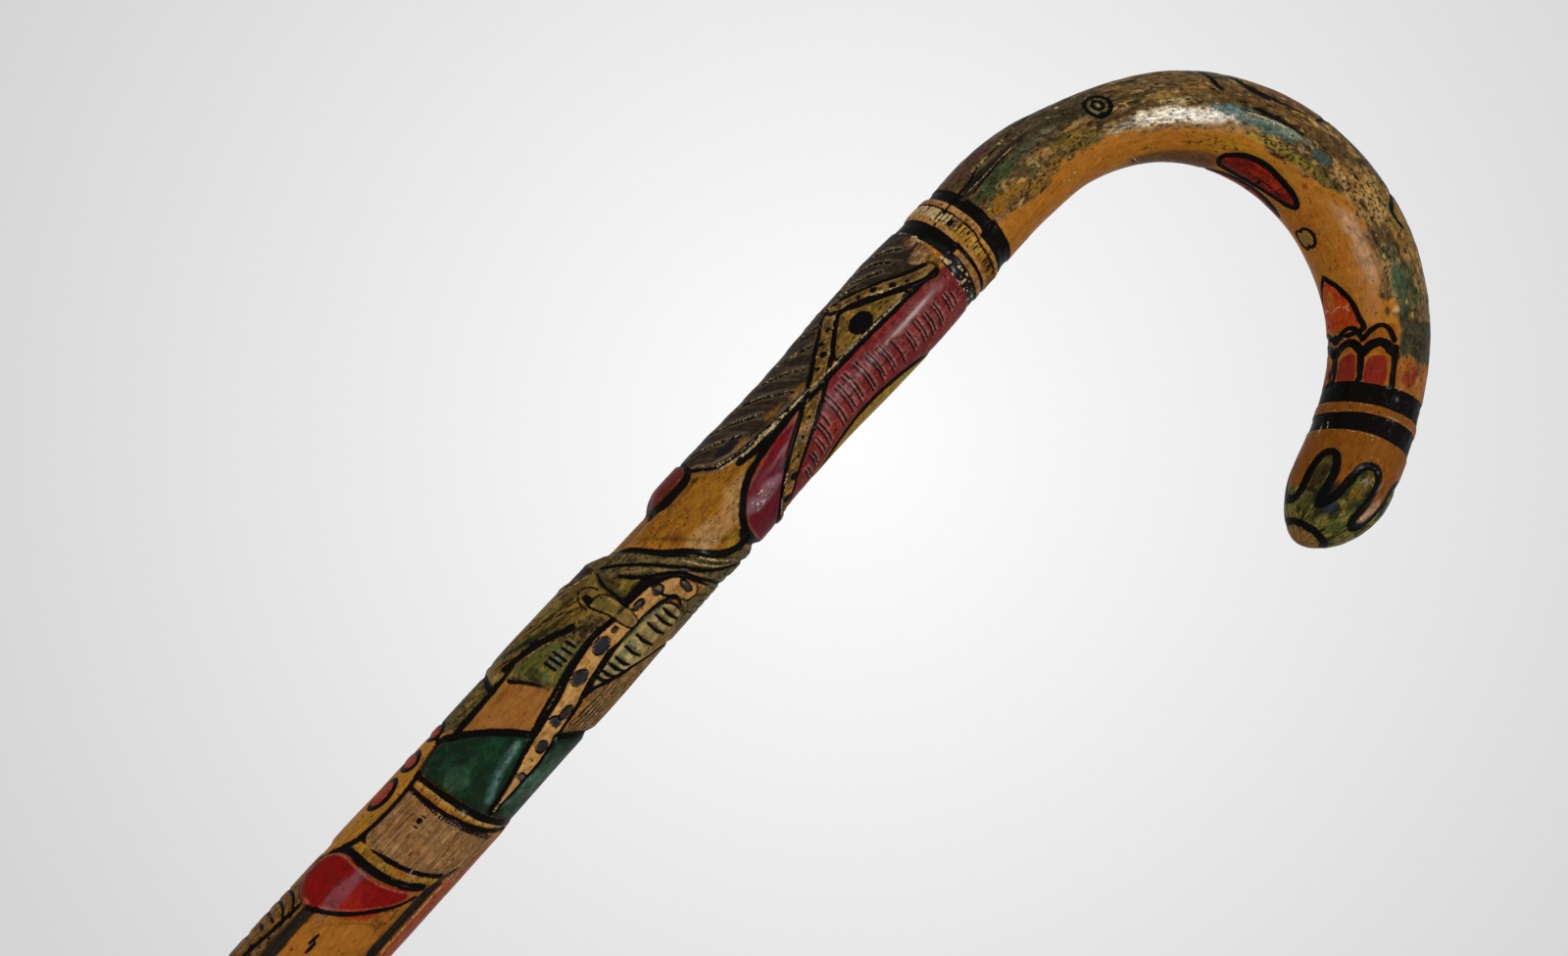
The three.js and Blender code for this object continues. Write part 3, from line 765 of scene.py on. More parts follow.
# %% Spot strip
field([(-206, -58), (-198, -48), (-190, -46), (-184, -54), (-174, -60), (-160, -56), (-160, -110),
      (-208, -110), (-210, -72)], -0.25, "#9c641c", "#8a641c", 0.4, 0.2)
field([(-174, -56), (-160, -54), (-160, -110), (-174, -110)], 0, "#5a4618", OLIVE, 0.6, 0.8)
patch((-166, -66), (3, 6), "#96761e", 0.7)
for low, high, first, last in ((-197, -189, -57, -82), (-186.5, -181.5, -61, -88), (-178, -173.5, -66, -92)):
    middle, half = (low + high) / 2, (high - low) / 2
    side, reach = (first + last) / 2, abs(last - first) / 2
    field(oval((middle, side), (half, 0.22 * reach)), 0.15, "#8a3424", PLUM, 0.25, line=1.3)
cuts([
    (1.5, 0.45, [(-210, -70), (-206, -55), (-203, -48), (-198, -45), (-192, -44), (-187, -46), (-183, -51),
     (-177, -60)]),
    (1.6, 0.4, [(-160, -110), (-160, -80), (-161.2, -60), (-161.2, -50)]),
])
report("spot strip")

# %% [markdown]
# ## Green panel, tan panel and the bird
# A dark green panel leads up to a bare tan one. Above them a bird of prey looks down, its eye a black
# oval in a thin ring, and a spotted snake winds up past its neck to a coil with a ribbed belly.

# %% Panels
field([(-184, -50), (-177, -60), (-174, -52), (-172, -42), (-168, -20), (-164, 0), (-161, 14), (-158, 30),
      (-155, 48), (-153, 70), (-152, 110), (-178, 110), (-179, 75), (-181, 45), (-183, 0)], -0.3, "#12301d",
      "#0b1a10", 0.5, 0.2)
# Darker clouds in the panel's green paint.
panel_mottling = smoothstep(np.minimum(up + 178, -160 - up), 0, 2) * smoothstep(cloud(2.4, 3.4, 29), 0.05, 0.4)
wash(panel_mottling * smoothstep(around, -44, -36) * 0.45, "#151a0e")
# The paler green dab at up -180 is a painted sheen.
patches([
    ((-180, -14), (3.0, 10), "#34523a", 0.7), ((-172, -8), (5, 9), "#1b4029", 0.5),
])
# The first of these two lines, pale teal along the snake's upper edge, is a painted sheen.
tint([(-179, 24), (-174.6, 15.5), (-170.6, 10.5), (-166, 7.5)], 1.1, "#5c8078", 0.9)
tint([(-178, 19), (-174, 11), (-169, 6)], 0.9, "#2c4c40", 0.8)
patches([
    ((-168, 55), (9, 15), "#425e48", 0.85), ((-172, 44), (4, 4), "#4c7266", 0.7),
])
field([(-171, -43), (-164, -43), (-157, -42), (-155, -30), (-153.5, -15), (-152.5, -4), (-158, 2),
      (-162, 7), (-164.5, 1), (-168, -20)], -0.42, "#865624", "#94642e", 0.35, 0.05)
patch((-160.5, -36), (3.6, 5), "#8a5014", 0.6)
field([(-159, 34), (-152, 31), (-146, 28), (-140, 42), (-132, 56), (-128, 80), (-128, 110), (-154, 110),
      (-155, 66), (-157, 46)], -0.1, "#8c683a", "#54411f", 0.5, 0.35)
for strand in range(10):
    start = 36 + 5 * strand
    cut([(-157 + 0.3 * strand, start - 3), (-150, start + 1), (-141 + strand, start + 2)], 0.4, 0.2,
        taper=0.8)
    stroke([(-154, start + 0.5), (-147, start + 3.5), (-141 + strand, start + 4)], 0.15, gilt, taper=0.9)
cuts([
    (1.6, 0.5, [(-159.6, 32), (-157.4, 45), (-155, 62), (-153.6, 90)]),
    (1.7, 0.5, [(-177, -62), (-173.6, -46), (-170, -30), (-166.8, -14), (-163, 8)]),
    (1.8, 0.5, [(-174, -48), (-168, -48.5), (-161, -50), (-155, -53)]),
    (1.3, 0.4, [(-157, -43), (-155.3, -32), (-153.4, -18), (-151.6, -8)]),
])
report("panels")

# %% Bird
field([(-172, -110), (-160, -90), (-160, -56), (-155, -52), (-147, -43), (-138, -27), (-133, -8),
      (-131.5, 12), (-129.5, 18), (-128.3, 10), (-128.5, -10), (-128, -28), (-126, -44), (-128, -60),
      (-134, -86), (-136, -110)], 0.6, "#584a1e", "#7e6228", 0.55, 0.4, edge=1.0)
patches([
    ((-149, -62), (9, 8), "#6e4a18", 0.8), ((-134, -56), (5, 8), "#5c4a1e", 0.7),
    ((-141, -44), (4, 7), "#766028", 0.7), ((-144, -62), (5, 7), "#45521f", 0.7),
    ((-152, -78), (5, 10), "#4e5a38", 0.5), ((-126, -52), (2.5, 6), "#6c5c20", 0.6),
])
FEATHERS = [(0.75, "#10180a"), (0.55, "#86621e"), (0.7, "#1e3010"), (0.45, "#a07c34")]
for feather in range(22):
    start, low = -92 + 2.6 * feather, -160 + 0.9 * feather + 1.2 * math.sin(3 * feather)
    line = [(low, start), (low + 6, start + 5), (low + 11, start + 11), (low + 15, start + 20)]
    half, code = FEATHERS[feather % len(FEATHERS)]
    tint(line, half, code, 1.0)
for low, side in ((-151, -60), (-147, -66), (-154, -68), (-142, -60), (-146, -52)):
    tint([(low, side), (low + 3, side + 4), (low + 7, side + 8)], 0.9, "#26340f", 0.9)
wisps = np.random.default_rng(41)
for place, side in wisps.uniform((-160, -92), (-133, -46), (26, 2)):
    run = wisps.uniform(2.5, 5.5)
    stroke([(place, side), (place + run, side + 1.6 * run)], wisps.uniform(0.3, 0.55), taper=0.9)
field([(-156.8, -48), (-150, -44), (-145, -37), (-140, -28), (-137.5, -10), (-143, -6), (-149, -3),
      (-151.6, -3), (-153.4, -16), (-155, -30)], 0.3, "#70591f", "#36461e", 0.6, 0.4)
field([(-144, -31), (-139.5, -31), (-134.6, -24), (-133.4, -9), (-138.4, -9), (-141.6, -15)], 0, "#2c2214",
      "#6a5428", 0.5, 0.7)
patches([
    ((-152.6, -24), (1.4, 8), "#1f2016", 0.7), ((-151.4, -15), (1.2, 4), "#5c6a52", 0.7),
    ((-147.4, -18), (1.6, 4), "#46584a", 0.8),
])
BARS = [(-149.2, -26, -14), (-147.6, -26, -13), (-146.2, -27, -13), (-144.3, -24, -13), (-142.6, -25, -15)]
for bar, first, last in BARS:
    cut([(bar, first), (bar + 0.3, last)], 0.65, 0.35)
    patch((bar + 0.8, (first + last) / 2), (0.4, 5), "#7c8268", 0.6)
cuts([
    (0.8, 0.45, [(-163, 11), (-158, 5), (-152, -1), (-147, -6), (-142, -9), (-137, -9.5), (-132, -5)]),
    (1.6, 0.5, [(-156, -57), (-150, -50), (-146, -44), (-142.6, -36), (-139.5, -31)]),
])
stroke([(-153, -49), (-148, -42), (-142, -32)], 0.2, gilt, taper=0.8)
stroke([(-134.6, -31), (-134.2, -44), (-132.4, -51), (-130.2, -46), (-129.4, -36)], 0.5)
spot((-132.6, -38), (0.9, 1.4), sunk=0.2)
stroke([(-127.6, -45), (-127.2, -44)], 0.5, gilt)
report("bird")

# %% Frame above the bird
field([(-128, -48), (-122, -46), (-119, -30), (-116, -6), (-128, -4)], 0, "#4e3e16", "#2a2c14", 0.55, 0.45)
field([(-134.6, -84), (-132.6, -72), (-130, -63.5), (-125, -61.5), (-121.4, -66), (-120.6, -76),
      (-122, -96), (-128, -110), (-134, -110)], 0.3, "#120d0a", UMBER, 0.3, edge=0.6)
stroke([(-135.5, -86), (-133.2, -71), (-130, -61), (-125, -59), (-120.8, -64)], 0.3, gilt, taper=0.5)
cuts([
    (0.8, 0.4, [(-126.6, -52), (-127.8, -38), (-127.9, -22), (-127.6, -8)]),
    (1.1, 0.4, [(-125, -34), (-122, -20), (-120, -12)]),
    (2.2, 0.45, [(-129, -7), (-124, -7), (-119, -7)]),
])
patch((-124, -20), (2, 5), "#86742a", 0.8)
report("frame")

# %% Spotted snake
SNAKE = [(-180, 36), (-174, 34), (-169, 31), (-164, 27), (-158, 21), (-152, 16), (-147, 9), (-142, 5),
    (-138, 3), (-133, 5), (-128, 5), (-123, 7), (-119.5, 12), (-116.8, 21), (-115.6, 34)]
line = curve(SNAKE)
rows = near(line, 5)
gap, along = away_from(line, rows)
TAIL_SHARE, TAIL_THICK = 0.18, 0.12
half = 2.05 * np.clip(along / TAIL_SHARE, TAIL_THICK, 1)
relief[rows] += np.where(gap < half, 0.6 * np.sqrt(np.clip(1 - (gap / half) ** 2, 0, 1)), 0)
lay(rows, smoothstep(half - gap, -0.15, 0.15), "#b08448", "#8a5a28", 0.4, 0.15)
borders(rows, gap - half, (0.56, 0.45), (0.3, 0.45), 0.1)
field([(-121, 2), (-118, 4.5), (-115.4, 12), (-113.4, 27), (-111, 58), (-113.8, 54), (-115, 46),
      (-116.4, 42), (-118, 47), (-119.6, 56), (-119, 40), (-118.6, 26), (-120.4, 16)], 0.3, "#a67c42",
      "#80562a", 0.45, line=0.6)
for place, side, along_size, across_size in (
    (-170.6, 34, 0.9, 1.3), (-163, 27, 1.5, 1.3), (-157, 19, 1.2, 1.2), (-154, 21, 2.0, 1.0),
    (-146.6, 8, 2.3, 1.3), (-138.2, 3, 2.4, 1.5), (-133.6, 2, 0.8, 0.6), (-126, 3, 1.7, 0.7),
    (-120.6, 7, 1.4, 1.0), (-115.4, 26, 0.9, 1.8),
):
    field(oval((place, side), (along_size, across_size)), -0.1, "#21262f", UMBER, 0.3, 0.1, line=0.35)
field([(-133.6, -32), (-132.2, -12), (-131.7, 4), (-130.4, 16), (-129.2, 17), (-128.2, 6), (-128.3, -10),
      (-129.6, -30)], 0.5, "#6c541e", OLIVE, 0.5, line=0.45)
patch((-130.4, 8), (1.0, 9), "#80683a", 0.5)
report("spotted snake")

# %% Coiled belly
field([(-147, 24), (-143, 32), (-139, 40), (-135, 48), (-131, 56), (-124, 60), (-120.6, 52), (-120, 34),
      (-121.5, 22), (-125, 16), (-130, 14), (-136, 15), (-141, 18)], 0.5, "#a08a56", "#70683c", 0.5, 0.2,
      edge=1.1, line=0.6)
patches([
    ((-124, 19), (3.5, 4), "#2c4a40", 0.8), ((-134, 30), (8, 5), "#b09a68", 0.6),
    ((-128, 50), (6, 7), "#80602c", 0.7), ((-138, 24), (5, 4), "#5c6a4c", 0.6),
])
for i, place in enumerate((-143.4, -141.6, -139.4, -137.4, -134.2, -130.6, -127, -124.4, -122.2)):
    start, reach = 19 + 0.6 * i, 12 + 2.8 * i - 0.14 * i * i
    cut([(place - 0.4, start), (place - 0.3, start + 0.5 * reach), (place + 0.5, start + reach)], 0.9, 0.4,
        taper=0.5)
    patch((place, start + 0.4 * reach), (0.7, 0.35 * reach), "#24342a", 0.7)
cut([(-149, 24), (-146, 27), (-143, 34), (-139, 42), (-135, 50), (-131, 60), (-127, 76), (-126, 92)],
    1.3, 0.45)
report("belly")

# %% [markdown]
# ## The waist
# The shaft is pared down to a slim waist with a smooth bare field. Two black sweeps cross below it like
# drapery, and a red lump stands over its outer edge.

# %% Sweeps and open field
field([(-124, -74), (-118, -60), (-109, -58), (-105.6, -66), (-105, -120), (-124, -120)], -1.25, edge=2.4)
field([(-120, -72), (-114, -34), (-106, 14), (-99, 46), (-96.6, 50), (-96, 26), (-90, 2), (-79, -13),
      (-88, -30), (-93, -46), (-96, -52), (-104, -48), (-107.6, -56), (-106.4, -110), (-120, -110)], -1.0,
      "#865714", "#6c3e14", 0.35, 0.2, edge=1.7)
# These pale tan dabs across the open field are a painted sheen.
for place, reach in (((-106, 4), (5, 10)), ((-98, 12), (8, 14)), ((-89, -2), (5, 9))):
    patch(place, reach, "#a8804c", 0.7, speck=0.3)
patches([
    ((-100, 36), (4, 9), "#96701e", 0.8), ((-109, -14), (1.4, 12), "#6e3418", 0.6),
    ((-108, -58), (5, 6), "#805018", 0.6),
])
field([(-119, 40), (-114, 44), (-108, 60), (-103, 74), (-103, 110), (-128, 110), (-126, 66)], 0, "#6e5a34",
      OLIVE, 0.6, 0.4)
field([(-126, -110), (-123, -74), (-120, -54), (-116, -32), (-112, -6), (-107, 18), (-102, 44), (-98, 56),
      (-97, 84), (-104, 84), (-108, 60), (-111, 40), (-114, 14), (-118, -4), (-122, -20), (-126, -40)], 0.3,
      "#33301a", "#66542c", 0.55, 0.5)
patches([
    ((-113, 30), (1.6, 14), "#70461a", 0.8), ((-108, 62), (3, 9), "#544c30", 0.7),
])
cuts([
    (1.9, 0.6, [(-122, -92), (-119.6, -56), (-117, -38), (-113.4, -12), (-110, 3), (-107, 20), (-104, 36),
     (-100.5, 47), (-97.6, 52), (-96.6, 62), (-96.4, 92)]),
    (1.0, 0.5, [(-125, -54), (-121, -34), (-117, -12), (-113.6, 8), (-110.6, 28), (-107.6, 44),
     (-104.6, 58), (-101, 78), (-100.4, 92)]),
    (0.8, 0.45, [(-124, -32), (-120.6, -12), (-117, 1), (-114, 14), (-112, 34), (-110, 52), (-108.8, 72),
     (-108, 90)]),
], taper=0.3)
for strand in range(5):
    rise = 0.9 * strand
    stroke([(-113 + rise, 4), (-110.4 + rise, 24), (-107.6 + rise, 42), (-104.6 + rise, 58)], 0.3,
           (ink, gilt)[strand % 2], taper=0.9)
for strand in range(7):
    start = 58 + 5 * strand
    cut([(-120 + 2.2 * strand, 58), (-118.6 + 2.2 * strand, start), (-117.6 + 2.2 * strand, 92)], 0.4, 0.2,
        taper=0.7)
report("waist")

# %% Lump
field([(-108.4, -64), (-107.6, -53), (-104.4, -46.5), (-100, -48), (-96, -50.5), (-94.6, -57), (-94, -75),
      (-94, -120), (-107, -120), (-108.2, -80)], 0.25, "#0c0907", "#1c1410", 0.2, 0.0, edge=0.8)
field([(-106.6, -68), (-105.2, -59), (-100, -56), (-95.8, -58), (-95, -75), (-95, -120), (-105.4, -120),
      (-106.8, -80)], 0.15, "#601c16", "#3c1210", 0.35, 0.15)
cut([(-94, -100), (-94, -70), (-94.6, -58), (-93, -50)], 0.9, 0.4)
cut([(-108.4, -64), (-107, -55), (-104, -50.5), (-100, -51.5), (-96.6, -54), (-94.6, -60)], 1.7, 0.35)
report("lump")

# %% [markdown]
# ## Wing, strap and red field
# Long feathers run down the outer side. A gold strap with dark spots crosses itself over a triangle with
# one round black spot, and beside it lies a sunken red field hatched with short strokes, which ends in
# a smooth tongue.

# %% Red field and tongue
field([(-16.6, 2), (-16.4, 30), (-16.4, 110), (-30, 84), (-36, 66), (-46, 50), (-58, 49), (-66, 56),
      (-72, 64), (-78, 80), (-80, 110), (-96, 110), (-95, 60), (-88, 30), (-76, 4), (-64, -6), (-45, -9),
      (-30, -4)], -0.1, "#7a2828", "#541818", 0.5, 0.28, edge=0.8)
# Lighter pink clouds over the field's upper half: faded paint and painted sheen.
faded_and_sheen = smoothstep(np.minimum(up + 78, -17 - up), 0, 2) * smoothstep(cloud(1.6, 2.4, 26), 0.1, 0.5)
wash(faded_and_sheen * smoothstep(np.minimum(around, 50 - around), 0, 5) * 0.5, "#9a5248")
# Of these dabs, the two pinkish ones near the top edge, at up -30 and -52, are painted sheen; the others are
# redder paint.
for place, reach, code in (
    ((-30, 10), (10, 8), "#7e4640"), ((-52, 12), (11, 9), "#80464c"), ((-25, 58), (5, 5), "#903c1c"),
    ((-66, 38), (6, 9), "#943420"), ((-56, 40), (8, 6), "#8e3224"), ((-40, 42), (8, 6), "#7c2420"),
):
    patch(place, reach, code, 0.6)
for place, first, last, pair in (
    (-61.5, 0, 46, 0.9), (-57.7, 3, 41, 0.8), (-54.6, 0, 40, 0.8), (-50.6, 1, 42, 0.7), (-47, 4, 41, 0.6),
    (-43.6, 8, 43, 0.6), (-39.8, 15, 46, 0), (-36.2, 20, 46, 0.7), (-32.6, 18, 48, 0.8), (-29.6, 20, 51, 0.8),
    (-26.4, 20, 51, 0.6), (-22.6, 22, 46, 0.7), (-20.2, 28, 44, 0), (-64.6, 10, 30, 0), (-67.2, 18, 50, 0.8),
    (-70, 28, 54, 0.8), (-73, 36, 58, 0.7), (-76, 46, 66, 0.7),
):
    middle = (first + last) / 2 + 4 * math.sin(5 * place)
    for shift, end in ((0, last), (pair + 0.3, last - 3)) if pair else ((0, last),):
        line = [(place + shift, first), (place + shift + 0.2, middle), (place + shift, end)]
        cut(line, 0.46, 0.3, taper=0.2)
        tint([(u + 0.5, a) for u, a in line], 0.4, "#b0807a", 0.55)
field([(-74, 110), (-74, 84), (-68, 66), (-60, 54), (-52, 50), (-45, 53), (-38, 62), (-33, 76), (-30, 110)],
      0.15, "#92701e", "#7a6424", 0.4, 0.3, line=1.3)
field([(-66, -12), (-78, -9), (-86, -3), (-90.4, 6), (-94, 19), (-96, 34), (-96.2, 55), (-95, 84),
      (-93, 110), (-84, 110), (-86, 75), (-86, 60), (-83, 38), (-76, 18), (-70, 4)], 0.5, "#5e1420",
      "#42101a", 0.3, 0.05, line=1.5)
# The greyish pink dab at up -87 is a painted highlight on the tongue.
patches([
    ((-78, -1), (6, 5), "#6e0a0a", 0.85), ((-87, 24), (6, 8), "#84606a", 0.75),
    ((-79, 17), (3, 3), "#463c42", 0.7),
])
stroke([(-97, 36), (-97.6, 48), (-96.4, 62)], 1.8, taper=0.3)
report("red field")

# %% Wing
field([(-17, -18), (-30, -30), (-40, -56), (-48, -60), (-54, -38), (-60, -18), (-78, -17), (-84, -22),
      (-89, -32), (-93, -50), (-94, -80), (-94, -120), (-50, -130), (-17, -120)], 0.0, "#231b13", "#3a2d22",
      0.35, 0.3, edge=0.8)
for line in ([(-93.6, -52), (-91.4, -40), (-88.6, -32), (-82, -24.5), (-72, -20), (-62, -17)],
             [(-77, -84), (-72, -62), (-65, -28)], [(-70, -84), (-65, -64), (-59, -37)],
             [(-62, -80), (-57.5, -64), (-53, -50)], [(-53.6, -84), (-50, -73), (-47, -60)],
             [(-84, -80), (-80, -62), (-74, -38)], [(-91, -76), (-87, -60), (-81, -38)],
             [(-47, -88), (-43, -76), (-40, -68)], [(-42, -84), (-38, -72), (-34, -60)],
             [(-37, -84), (-32, -62), (-28, -46)], [(-32, -84), (-27.6, -66), (-24.6, -46)],
             [(-27, -84), (-23, -66), (-20, -48)]):
    rows, gap = stroke(line, 0.02, gilt)
    relief[rows] += 0.14 * smoothstep(gap, 3.0, 0.6)
    lay(rows, 0.8 * smoothstep(gap, 1.5, 0.9), "#4e4234", None, 0.2)
    cut_with_highlit_lip(line, 0.75, 0.9, 0.45)
for barb in range(52):
    start, side = -92 + 1.45 * barb, -78 + 14 * math.sin(2.1 * barb)
    stroke([(start, side), (start + 2.4, side + 11)], 0.32, taper=0.9)
    tint([(start + 0.8, side + 20), (start + 2.8, side + 33)], 0.45, "#54463a")
for place, reach in (((-72, -29), (3, 3.5)), ((-82, -31), (2.4, 2)), ((-64, -25), (2.5, 3))):
    patch(place, reach, "#7a5018", 0.75)
patches([
    ((-86, -41), (5, 5), "#10131c", 0.85), ((-76, -26), (3, 3), "#10100e", 0.6),
])
# The two pale lines along the wing's upper edge are a painted glint of light.
stroke([(-90, -30), (-85, -23), (-80, -19), (-72, -17)], 0.4, gilt)
stroke([(-80, -20.5), (-71, -18.5), (-62, -16.5)], 0.5, gilt)
cut([(-86, -20), (-80, -15), (-72, -14), (-64, -12.5)], 1.7, 0.45)
report("wing")

# %% Strap and round spot
field([(-52, -14), (-49, -32), (-43, -50), (-38, -36), (-28, -9), (-40, -11)], 0.2, "#84601c", "#3e3616",
      0.6, 0.5, line=0.8)
for place, reach, code in (
    ((-33, -14), (3, 4), "#8a6a2a"), ((-47, -22), (3, 5), "#966e2c"), ((-40, -38), (4, 5), "#a47c34"),
):
    patch(place, reach, code, 0.8)
spot((-41.6, -23), (3.4, 2.5), sunk=0.3)
STRAPS = [
    [(-42.6, -60), (-45, -55), (-50, -40), (-55, -26), (-62, -8), (-69, 8), (-76, 24), (-81, 40),
     (-84, 54), (-86, 70), (-87, 100)],
    [(-42, -62), (-38, -50), (-32, -33), (-26, -17), (-20, -6)],
]
raised = np.zeros(up.shape)
for points, wide in zip(STRAPS, (2.9, 2.3)):
    line = curve(points)
    rows = near(line, 5)
    gap, along = away_from(line, rows)
    half = wide / 2
    raised[rows] = np.maximum(raised[rows], 0.4 * smoothstep(gap, half + 0.7, half - 0.3))
    lay(rows, smoothstep(half - gap, -0.15, 0.15), "#846026", "#2c200e", 0.55, 0.45)
    borders(rows, gap - half, (0.65, 0.5), (0.35, 0.6), 0.12)
    gilt[rows] = np.maximum(gilt[rows], 0.02 - np.abs(gap - half + 0.1) + 0.25 * wobble[rows])
relief += raised
for place, side, size in (
    (-83.4, 53, 1.3), (-79, 38, 1.2), (-75.4, 24, 0.5), (-71.5, 14, 0.5), (-67, 4, 0.5), (-57, -24, 0.7),
    (-53.4, -30, 0.9), (-51.4, -40, 0.8), (-47.6, -46, 0.7), (-43.4, -58, 0.7), (-36.6, -44, 0.6),
    (-33, -37, 0.9), (-29.4, -24, 0.9), (-26.4, -16, 0.5),
):
    spot((place, side), (size, 0.8 * size), sunk=0.15)
stroke([(-61, -15), (-52, -13.6), (-42, -11.4), (-30, -8)], 0.35, gilt)
for place, reach in (((-81, 44), (2.4, 5)), ((-76, 28), (2.4, 4)), ((-69, 8), (2.4, 4))):
    patch(place, reach, "#ac7c3c", 0.7)
cut([(-64, -10), (-55, -9.5), (-45, -8.2), (-35, -6), (-25, -3.6), (-18.6, -2)], 1.3, 0.45)
report("straps")

# %% [markdown]
# ## The neck
# A raised band with turned lines parts shaft and crook. Its rough gold strip is nicked all round, and a
# drying crack runs up across it into the crook, so the whole stick is plainly one piece of wood.

# %% Neck band
relief += 0.35 * smoothstep(3.3 - np.abs(up + 6), -0.8, 0.8)
for outline, code in (
    ([(-18.6, -48), (-16.4, -51), (-16.2, -36), (-18, -36)], "#94694a"),
    ([(-22, -29), (-19, -34), (-16.3, -31), (-16.6, -17), (-19, -15), (-21.6, -22)], "#9a7450"),
    ([(-19.6, -14), (-16.6, -17), (-16.8, -3), (-18.6, -3)], "#86601e"),
):
    field(outline, -0.15, code, BROWN, 0.55, 0.3)
coat(-10.4, -3.2, "#9c6e3e", BROWN, 0.3, 0.3)
coat(-9.4, -5.0, "#a87a24", "#7c5416", 0.4, 0.5)
coat(-9.4, -5.6, "#8e5c1c", BROWN, 0.4, 0.4, span=(22, 200))
coat(-8.8, -5.4, "#94744e", BROWN, 0.6, 0.6, span=(-200, -16))
hoop(-15.2, -10.3, depth=0.3, span=(-200, 0))
hoop(-16.6, -12.9, depth=0.3, span=(-4, 200))
hoop(-11.2, -10.1, depth=0.3, span=(-4, 200))
coat(-12.8, -11.4, "#946a3c", BROWN, 0.4, span=(2, 200))
hoop(-5.5, -5.0, depth=0.3, tilt=-1.0)
hoop(-3.1, 0.6, depth=0.35, tilt=-1.3, span=(-200, 14))
hoop(-4.7, 0.9, depth=0.35, span=(8, 200))
wash(smoothstep(np.abs(up + 1.2), 2.6, 1.8) * smoothstep(around, -52, -60) * 0.5, BROWN)
for seed, low, high, number in ((5, (-16, -72, 0.1), (-15.0, 4, 0.45), 36),
                                (6, (-17.2, 12, 0.1), (-13.4, 74, 0.4), 30)):
    for *chip, size in np.random.default_rng(seed).uniform(low, high, (number, 3)):
        spot(chip, (size, 1.3 * size), gilt, sunk=0.1)
patch((-7.4, 12), (1.6, 12), "#b8862c", 0.8)
marks = np.random.default_rng(11)
for place in np.arange(-92, 92, 4.6):
    tilt, size = marks.uniform(-2.0, 2.0), marks.uniform(0.3, 0.8)
    front = -20 < place < 24
    cut([(-8.6, place), (-5.8, place + tilt)], 0.25 if front else size, 0.3, taper=0.5)
    if place < -32:
        stroke([(-8.7, place + 2.2), (-5.8, place + 2.2 - tilt)], 0.7, gilt)
    elif front:
        stroke([(-8.2, place + 2.2), (-6.6, place + 2.2 - tilt)], 0.15, gilt)
spot((-7.4, -27), (1.1, 1.1))
report("neck")

# %% Drying crack
field([(0.4, -45), (8, -46), (14, -43), (21, -42.5), (24, -38), (17, -36.6), (9, -34), (0.4, -30)], 0,
      "#1c1b15", "#39351f", 0.4, 0.4)
stroke([(2, -28.5), (9, -31), (18, -33.5)], 0.8, taper=0.8)
stroke([(2, -34), (10, -33.4), (20, -35.4)], 0.3, gilt, taper=0.6)
CRACK = [(-19, -37), (-14, -39), (-10, -38), (-4, -40), (0, -42), (5, -43), (9, -49), (15, -51), (20, -56),
         (25, -65), (29, -74)]
rows, gap = stroke(CRACK, 0.5, taper=0.8)
relief[rows] -= 0.8 * np.clip(1 - gap / 0.6, 0, 1)
# The first pale bit, from up 16 to 20, is a painted glint on the crack's edge.
for bit in ([(16, -54), (20, -57)], [(21.6, -58), (24, -64), (27, -68)], [(8, -50.5), (14, -52)]):
    stroke(bit, 0.45, gilt, taper=0.6)
report("crack")
